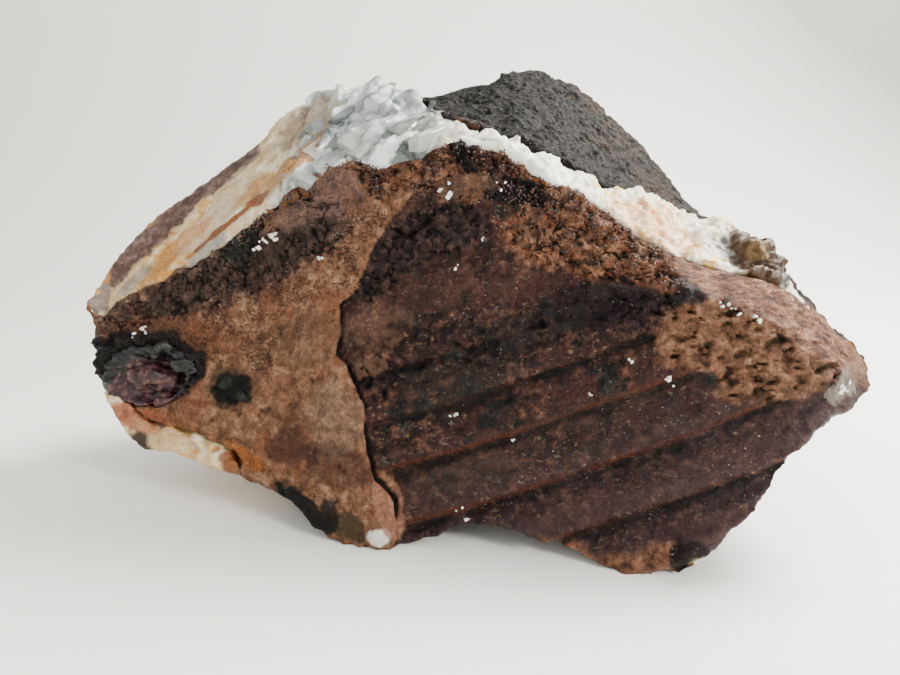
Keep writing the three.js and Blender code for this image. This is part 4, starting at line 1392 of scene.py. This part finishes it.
@dataclass
class Vein:
    """The vein: cream and honey calcite at the left, blocky quartz in the middle, white crust at the right.

    Sizes and places are in millimetres.
    """

    voxel: float = 1.9
    quartz_from: float = -72.0
    quartz_to: float = 2.0
    lean: float = 48.0  # degrees by which the crystals lean from the right
    large_block: tuple[float, float, float] = (34, 13, 10)
    small_block: tuple[float, float, float] = (15, 7, 5)
    nodule: tuple[float, float] = (134, 118)
    crystals: int = 26
    crystal_kinds: int = 5
    tip_cuts: int = 4
    side_cuts: int = 3
    finish: Calcite = field(default_factory=Calcite)
    crystal_finish: MilkyQuartz = field(default_factory=MilkyQuartz)

    def build(self) -> None:
        """Builds the vein's body and its standing crystals."""
        piece = copy_of("quartz_calcite_vein", "vein_body")
        remesh(piece, self.voxel)
        refine(piece, lambda centres, normals: (normals[:, 2] > 0.2) & (centres[:, 2] > 70))
        places, normals = points_of(piece)
        x, _, z = places.T
        quartz = smooth(x + 8 * grain(places, 18, 61, 2), self.quartz_from - 6, self.quartz_from + 6)
        quartz *= smooth(-x - 8 * grain(places, 18, 62, 2), -self.quartz_to - 6, -self.quartz_to + 6)
        shown = smooth(normals[:, 2], -0.2, 0.3)
        large, large_tone = blocks(self.turned(places), self.large_block, 0.16, 70)
        small, small_tone = blocks(self.turned(places), self.small_block, 0.24, 90)
        blocky = np.clip(1.7 * large + 0.8 * small - 1.6, -4.2, 1.2)
        right = smooth(x, 0, 20)
        plain = (0.8 + 1.2 * right) * grain(self.turned(places) * np.array([0.5, 1, 1]), 9, 63)
        plain += (0.3 + 0.35 * right) * grain(places, 2.8, 64) + right * 0.7 * small
        plain += smooth(-z, -64, -58) * (2.4 * grain(places, 8, 68) - 0.6 - 3.0 * smooth(x, -104, -92))
        nodule = bump(x, z, self.nodule, (9, 7))
        nodule *= 2.0 + 2.0 * grain(places, 4.0, 67) + 1.4 * grain(places, 2.0, 69)
        # The vein sinks in behind the rust-capped peak, and in the hollow beside the nodule
        plain += nodule - 4.0 * bump(x, z, (9, 172), (12, 10))
        plain -= 2.4 * bump(x, z, (124, 119), (6, 5))
        height = shown * (quartz * blocky + (1 - quartz) * plain) + 0.5
        move_points(piece, places + normals * height[:, None])
        keep(piece, "quartz", quartz)
        keep(piece, "honey", smooth(-x, 80, 100) * smooth(grain(places, 26, 65, 2), -0.5, 0.3))
        keep(piece, "white", smooth(x, 0, 12) * (1 - 0.4 * smooth(x, 60, 110)))
        keep(piece, "specks", smooth(-x, 50, 70) * 0.6 + 0.25 * smooth(x, 60, 80))
        keep(piece, "strip", inside(x, z, STRIP))
        keep(piece, "peach", smooth(x, 58, 72) * (1 - 0.7 * smooth(x, 110, 135)))
        keep(piece, "tone", 0.6 * large_tone + 0.4 * small_tone)
        keep(piece, "dabs", painted(places, np.ones(len(x)), VEIN_DABS, 66))
        settle(piece, self.finish.material(), "quartz_calcite_vein", "quartz_calcite_vein")
        self.build_crystals()

    def turned(self, places: np.ndarray) -> np.ndarray:
        """Turns places so that X runs along the crystals, up to the right.

        Args:
            places: places in millimetres.

        Returns:
            The turned places.
        """
        turn = math.radians(self.lean)
        x, y, z = places.T
        return np.stack([x * math.cos(turn) + z * math.sin(turn), y, z * math.cos(turn) - x * math.sin(turn)], 1)

    def one_crystal(self, seed: int) -> bpy.types.Mesh:
        """Shapes one crystal: a bar with a chiselled end and broken corners, 2 units long.

        Args:
            seed: picks its shape.

        Returns:
            The crystal's mesh.
        """
        cuts = []
        for step in range(self.tip_cuts + self.side_cuts):
            numbers = hashed(np.array([[step, seed, i] for i in range(3)]), 5)
            if step < self.tip_cuts:
                way = Vector((1.2 + 0.5 * numbers[0], 1.4 * numbers[1], 1.4 * numbers[2]))
                cuts.append((way.normalized(), 0.86))
            else:
                cuts.append((Vector((0.35 * numbers[0], numbers[1], numbers[2])).normalized(), 1.02))
        return struck_block(cuts, bevel=0.05)

    def build_crystals(self) -> None:
        """Stands copies of a few crystals on the vein, leaning up to the right as they grew."""
        kinds = [self.one_crystal(seed) for seed in range(self.crystal_kinds)]
        copies = []
        for index in range(self.crystals):
            r = hashed(np.array([[index, i, 3] for i in range(8)]), 7)
            x = self.quartz_from + 12 + (self.quartz_to - 12 - self.quartz_from) * (0.5 + 0.5 * r[0])
            share = 0.42 + 0.3 * r[1]
            xs = np.array([x])
            low = Vector((x, along(RIM, xs, 1)[0], along(RIM, xs, 2)[0]))
            high = Vector((x, along(CREST, xs, 1)[0], along(CREST, xs, 2)[0]))
            middle = low.lerp(high, share)
            out = (high - low).cross(Vector((1, 0, 0))).normalized()
            if out.z < 0:
                out = -out
            up = (high - low).normalized()
            lean = (Vector((1, 0, 0)) * (0.62 + 0.12 * r[2]) + up * 0.78 + out * (0.04 + 0.08 * r[7])).normalized()
            side = out.cross(lean).normalized()
            face = lean.cross(side).normalized()
            length, width, depth = 13 + 5 * r[3], 4.2 + 1.4 * r[4], 3.6 + 1.0 * r[5]
            axes = Matrix((lean * length, side * width, face * depth)).transposed().to_4x4()
            twist = Euler((0.2 * r[6], 0.15 * r[7], 0.2 * r[2])).to_matrix().to_4x4()
            mesh = kinds[index % len(kinds)].copy()
            place = Matrix.Scale(MM, 4) @ twist @ axes
            place.translation = (middle - face * (3.3 + 0.8 * r[6]) - lean * 5) * MM
            mesh.transform(place)
            copy = new_piece(f"quartz_crystal_{index}", mesh)
            keep(copy, "tone", np.full(len(mesh.vertices), 0.5 + 0.5 * r[3]))
            copies.append(copy)
        settle(joined(copies, "quartz_crystals"), self.crystal_finish.material(), "quartz_calcite_vein")


@dataclass
class Pocket:
    """The pocket's crust of dark crystals with a glossy maroon lump. Sizes and places are in millimetres."""

    voxel: float = 1.0
    lump: tuple[float, float, float] = (-140.0, -20.0, 54.0)
    lump_radii: tuple[float, float, float] = (24.0, 16.0, 14.0)
    finish: PocketMineral = field(default_factory=PocketMineral)

    def build(self) -> None:
        """Builds, shapes and dresses the crust."""
        piece = copy_of("pocket_crystals", "pocket_crust")
        remesh(piece, self.voxel)
        places, normals = points_of(piece)
        away = np.sqrt((((places - np.array(self.lump)) / np.array(self.lump_radii)) ** 2).sum(axis=1))
        lump = smooth(-away - 0.15 * grain(places, 9, 83, 2), -1.15, -0.8)
        wrinkled = np.abs(grain(places * np.array([0.45, 1, 1.5]), 6, 81)) * 3.6 + 1.8 * grain(places, 14, 84, 2)
        height = (1 - lump) * wrinkled + lump * (1.5 * grain(places, 6, 82) + 1.0) - 0.6
        move_points(piece, places + normals * height[:, None])
        keep(piece, "lump", lump)
        settle(piece, self.finish.material(), "pocket_crystals", "pocket_crystals")


@dataclass
class Crumbs:
    """White crumbs of calcite that cling to the rock, by the place and size of each cluster in millimetres."""

    places: tuple[tuple[float, float, float, float], ...] = (
        (1.0, -38.0, 147.0, 3.0), (-75.0, -30.0, 127.0, 2.2), (-83.0, -29.0, 122.0, 2.2), (-80.0, -29.0, 125.0, 1.2),
        (-142.0, -18.0, 82.0, 1.8), (-147.0, -18.0, 78.0, 1.2), (-54.0, -41.0, 118.0, 1.6), (111.0, -75.0, 103.0, 1.6),
        (115.0, -77.0, 101.0, 1.2), (122.0, -79.0, 99.0, 1.8), (9.0, -79.0, 16.0, 1.6), (5.0, -66.0, 57.0, 1.2),
        (91.0, -79.0, 74.0, 2.0), (76.0, -73.0, 80.0, 1.6), (158.0, -82.0, 71.0, 1.6), (162.0, -80.0, 73.0, 1.2),
        (155.0, -83.0, 69.0, 1.2), (24.0, -44.0, 149.0, 1.0), (6.0, -50.0, 116.0, 0.9), (18.0, -47.0, 127.0, 0.9),
        (60.0, -72.0, 66.0, 1.2), (30.0, -70.0, 46.0, 1.2), (99.0, -101.0, 7.0, 1.8),
    )
    cluster: int = 4
    kinds: int = 6
    cuts: int = 8
    finish: Calcite = field(default_factory=Calcite)

    def one_chip(self, seed: int) -> bpy.types.Mesh:
        """Shapes one chip, 2 units wide: a block with its corners struck off.

        Args:
            seed: picks its shape.

        Returns:
            The chip's mesh.
        """
        ways = (hashed(np.array([[step, seed, i] for i in range(3)]), 6) for step in range(self.cuts))
        return struck_block([(Vector(way).normalized(), 0.8) for way in ways])

    def build(self, rock: bpy.types.Object) -> None:
        """Sets clusters of chips on the rock.

        Args:
            rock: the finished rock.
        """
        surface = BVHTree.FromObject(rock, bpy.context.evaluated_depsgraph_get())
        kinds = [self.one_chip(seed) for seed in range(self.kinds)]
        dice = np.random.default_rng(6)
        made = []
        for x, y, z, size in self.places:
            for _ in range(self.cluster):
                aim = Vector(dice.normal((x, y, z), 0.55 * size)) * MM
                near, normal, *_ = surface.find_nearest(aim)
                half = size * dice.uniform(0.2, 0.5) * MM
                turn = Euler(dice.uniform(0, math.pi, 3)).to_matrix().to_4x4()
                mesh = kinds[len(made) % len(kinds)].copy()
                mesh.transform(Matrix.Translation(near + normal * half * 0.3) @ turn @ Matrix.Scale(half, 4))
                made.append(new_piece(f"crumb_{len(made)}", mesh))
        piece = joined(made, "calcite_crumbs")
        places, normals = points_of(piece)
        move_points(piece, places + normals * (0.3 * grain(places, 1.6, 95))[:, None])
        keep(piece, "white", np.ones(len(places)))
        keep(piece, "strip", np.full(len(places), -9.0))
        keep(piece, "dabs", np.zeros((len(places), 4)))
        settle(piece, self.finish.material(), "quartz_calcite_vein")


@dataclass
class Stage:
    """A plain pale floor that sweeps up into a backdrop, soft light and the camera. Sizes are in metres."""

    width: float = 5.0
    behind: float = 1.1
    backdrop_height: float = 2.0
    sweep: float = 0.7
    camera_place: tuple[float, float, float] = (0.003763, -0.333903, 0.1465)
    camera_pitch: float = 12.3  # degrees below the level
    lens: float = 27.04
    room_tone: str = "#f0efe9"
    room_strength: float = 1.2
    # Each light's name, place, size, power and tone: the window at the upper right, a lower one in front that
    # puts glints on the fluted face, and a weak wide one at the left that opens the shade
    lamps: tuple[tuple[str, tuple[float, float, float], float, float, str], ...] = (
        ("window light", (0.65, 0.25, 0.8), 0.4, 38.0, "#fffaf2"),
        ("second window light", (0.75, -0.75, 0.55), 0.25, 13.0, "#fffdf8"),
        ("room light", (-0.6, -1.0, 0.8), 1.0, 3.0, "#f3f6ff"),
    )

    def build(self) -> None:
        """Sets the floor, the lights and the camera at the photograph's angle."""
        deselect()
        bpy.ops.mesh.primitive_plane_add(size=self.width, location=(0, self.behind - self.width / 2, 0))
        floor = bpy.context.active_object
        floor.name = "floor"
        bpy.ops.object.mode_set(mode="EDIT")
        bpy.ops.mesh.select_mode(type="EDGE")
        bpy.ops.mesh.select_all(action="DESELECT")
        bpy.ops.object.mode_set(mode="OBJECT")
        for edge in floor.data.edges:
            edge.select = all(floor.data.vertices[v].co.y > 0 for v in edge.vertices)
        bpy.ops.object.mode_set(mode="EDIT")
        bpy.ops.mesh.extrude_region_move(TRANSFORM_OT_translate={"value": (0, 0, self.backdrop_height)})
        bpy.ops.object.mode_set(mode="OBJECT")
        for edge in floor.data.edges:
            ends = [floor.data.vertices[v].co for v in edge.vertices]
            edge.select = all(end.y > 0 and end.z < 0.01 for end in ends)
        bpy.ops.object.mode_set(mode="EDIT")
        bpy.ops.mesh.bevel(offset=self.sweep, segments=24)
        bpy.ops.object.mode_set(mode="OBJECT")
        for face in floor.data.polygons:
            face.use_smooth = True
        floor.data.materials.append(self.paper())
        self.lights()
        camera = bpy.data.objects.new("camera", bpy.data.cameras.new("camera"))
        camera.data.lens = self.lens
        camera.location = self.camera_place
        camera.rotation_euler = (math.radians(90 - self.camera_pitch), 0, 0)
        camera.data.clip_start = 0.01
        bpy.context.scene.collection.objects.link(camera)
        bpy.context.scene.camera = camera

    def paper(self) -> bpy.types.Material:
        """Makes the floor's plain pale material.

        Returns:
            The material.
        """
        paper = bpy.data.materials.new("pale floor")
        paper.use_nodes = True
        shader = paper.node_tree.nodes["Principled BSDF"]
        shader.inputs["Base Color"].default_value = linear("#f8f8f4")
        shader.inputs["Roughness"].default_value = 0.5
        return paper

    def lights(self) -> None:
        """Sets the room's pale light and the lamps."""
        world = bpy.data.worlds.new("studio")
        world.use_nodes = True
        world.node_tree.nodes["Background"].inputs[0].default_value = linear(self.room_tone)
        world.node_tree.nodes["Background"].inputs[1].default_value = self.room_strength
        bpy.context.scene.world = world
        for name, place, size, power, tone in self.lamps:
            light = bpy.data.lights.new(name, "AREA")
            light.size, light.energy, light.color = size, power, linear(tone)[:3]
            lamp = bpy.data.objects.new(name, light)
            lamp.location = place
            lamp.rotation_euler = (Vector((0, 0, 0.1)) - Vector(place)).to_track_quat("-Z", "Y").to_euler()
            bpy.context.scene.collection.objects.link(lamp)


def main() -> None:
    """Builds the geode in order; each piece's face count is logged as it is dressed."""
    logging.basicConfig(level=logging.INFO, format="%(message)s")
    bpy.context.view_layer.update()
    Stage().build()
    rock = HostRock().build()
    RimGrains().build(rock)
    Crumbs().build(rock)
    Vein().build()
    Pocket().build()
    deselect()
    bpy.context.view_layer.update()


if __name__ == "__main__":
    main()
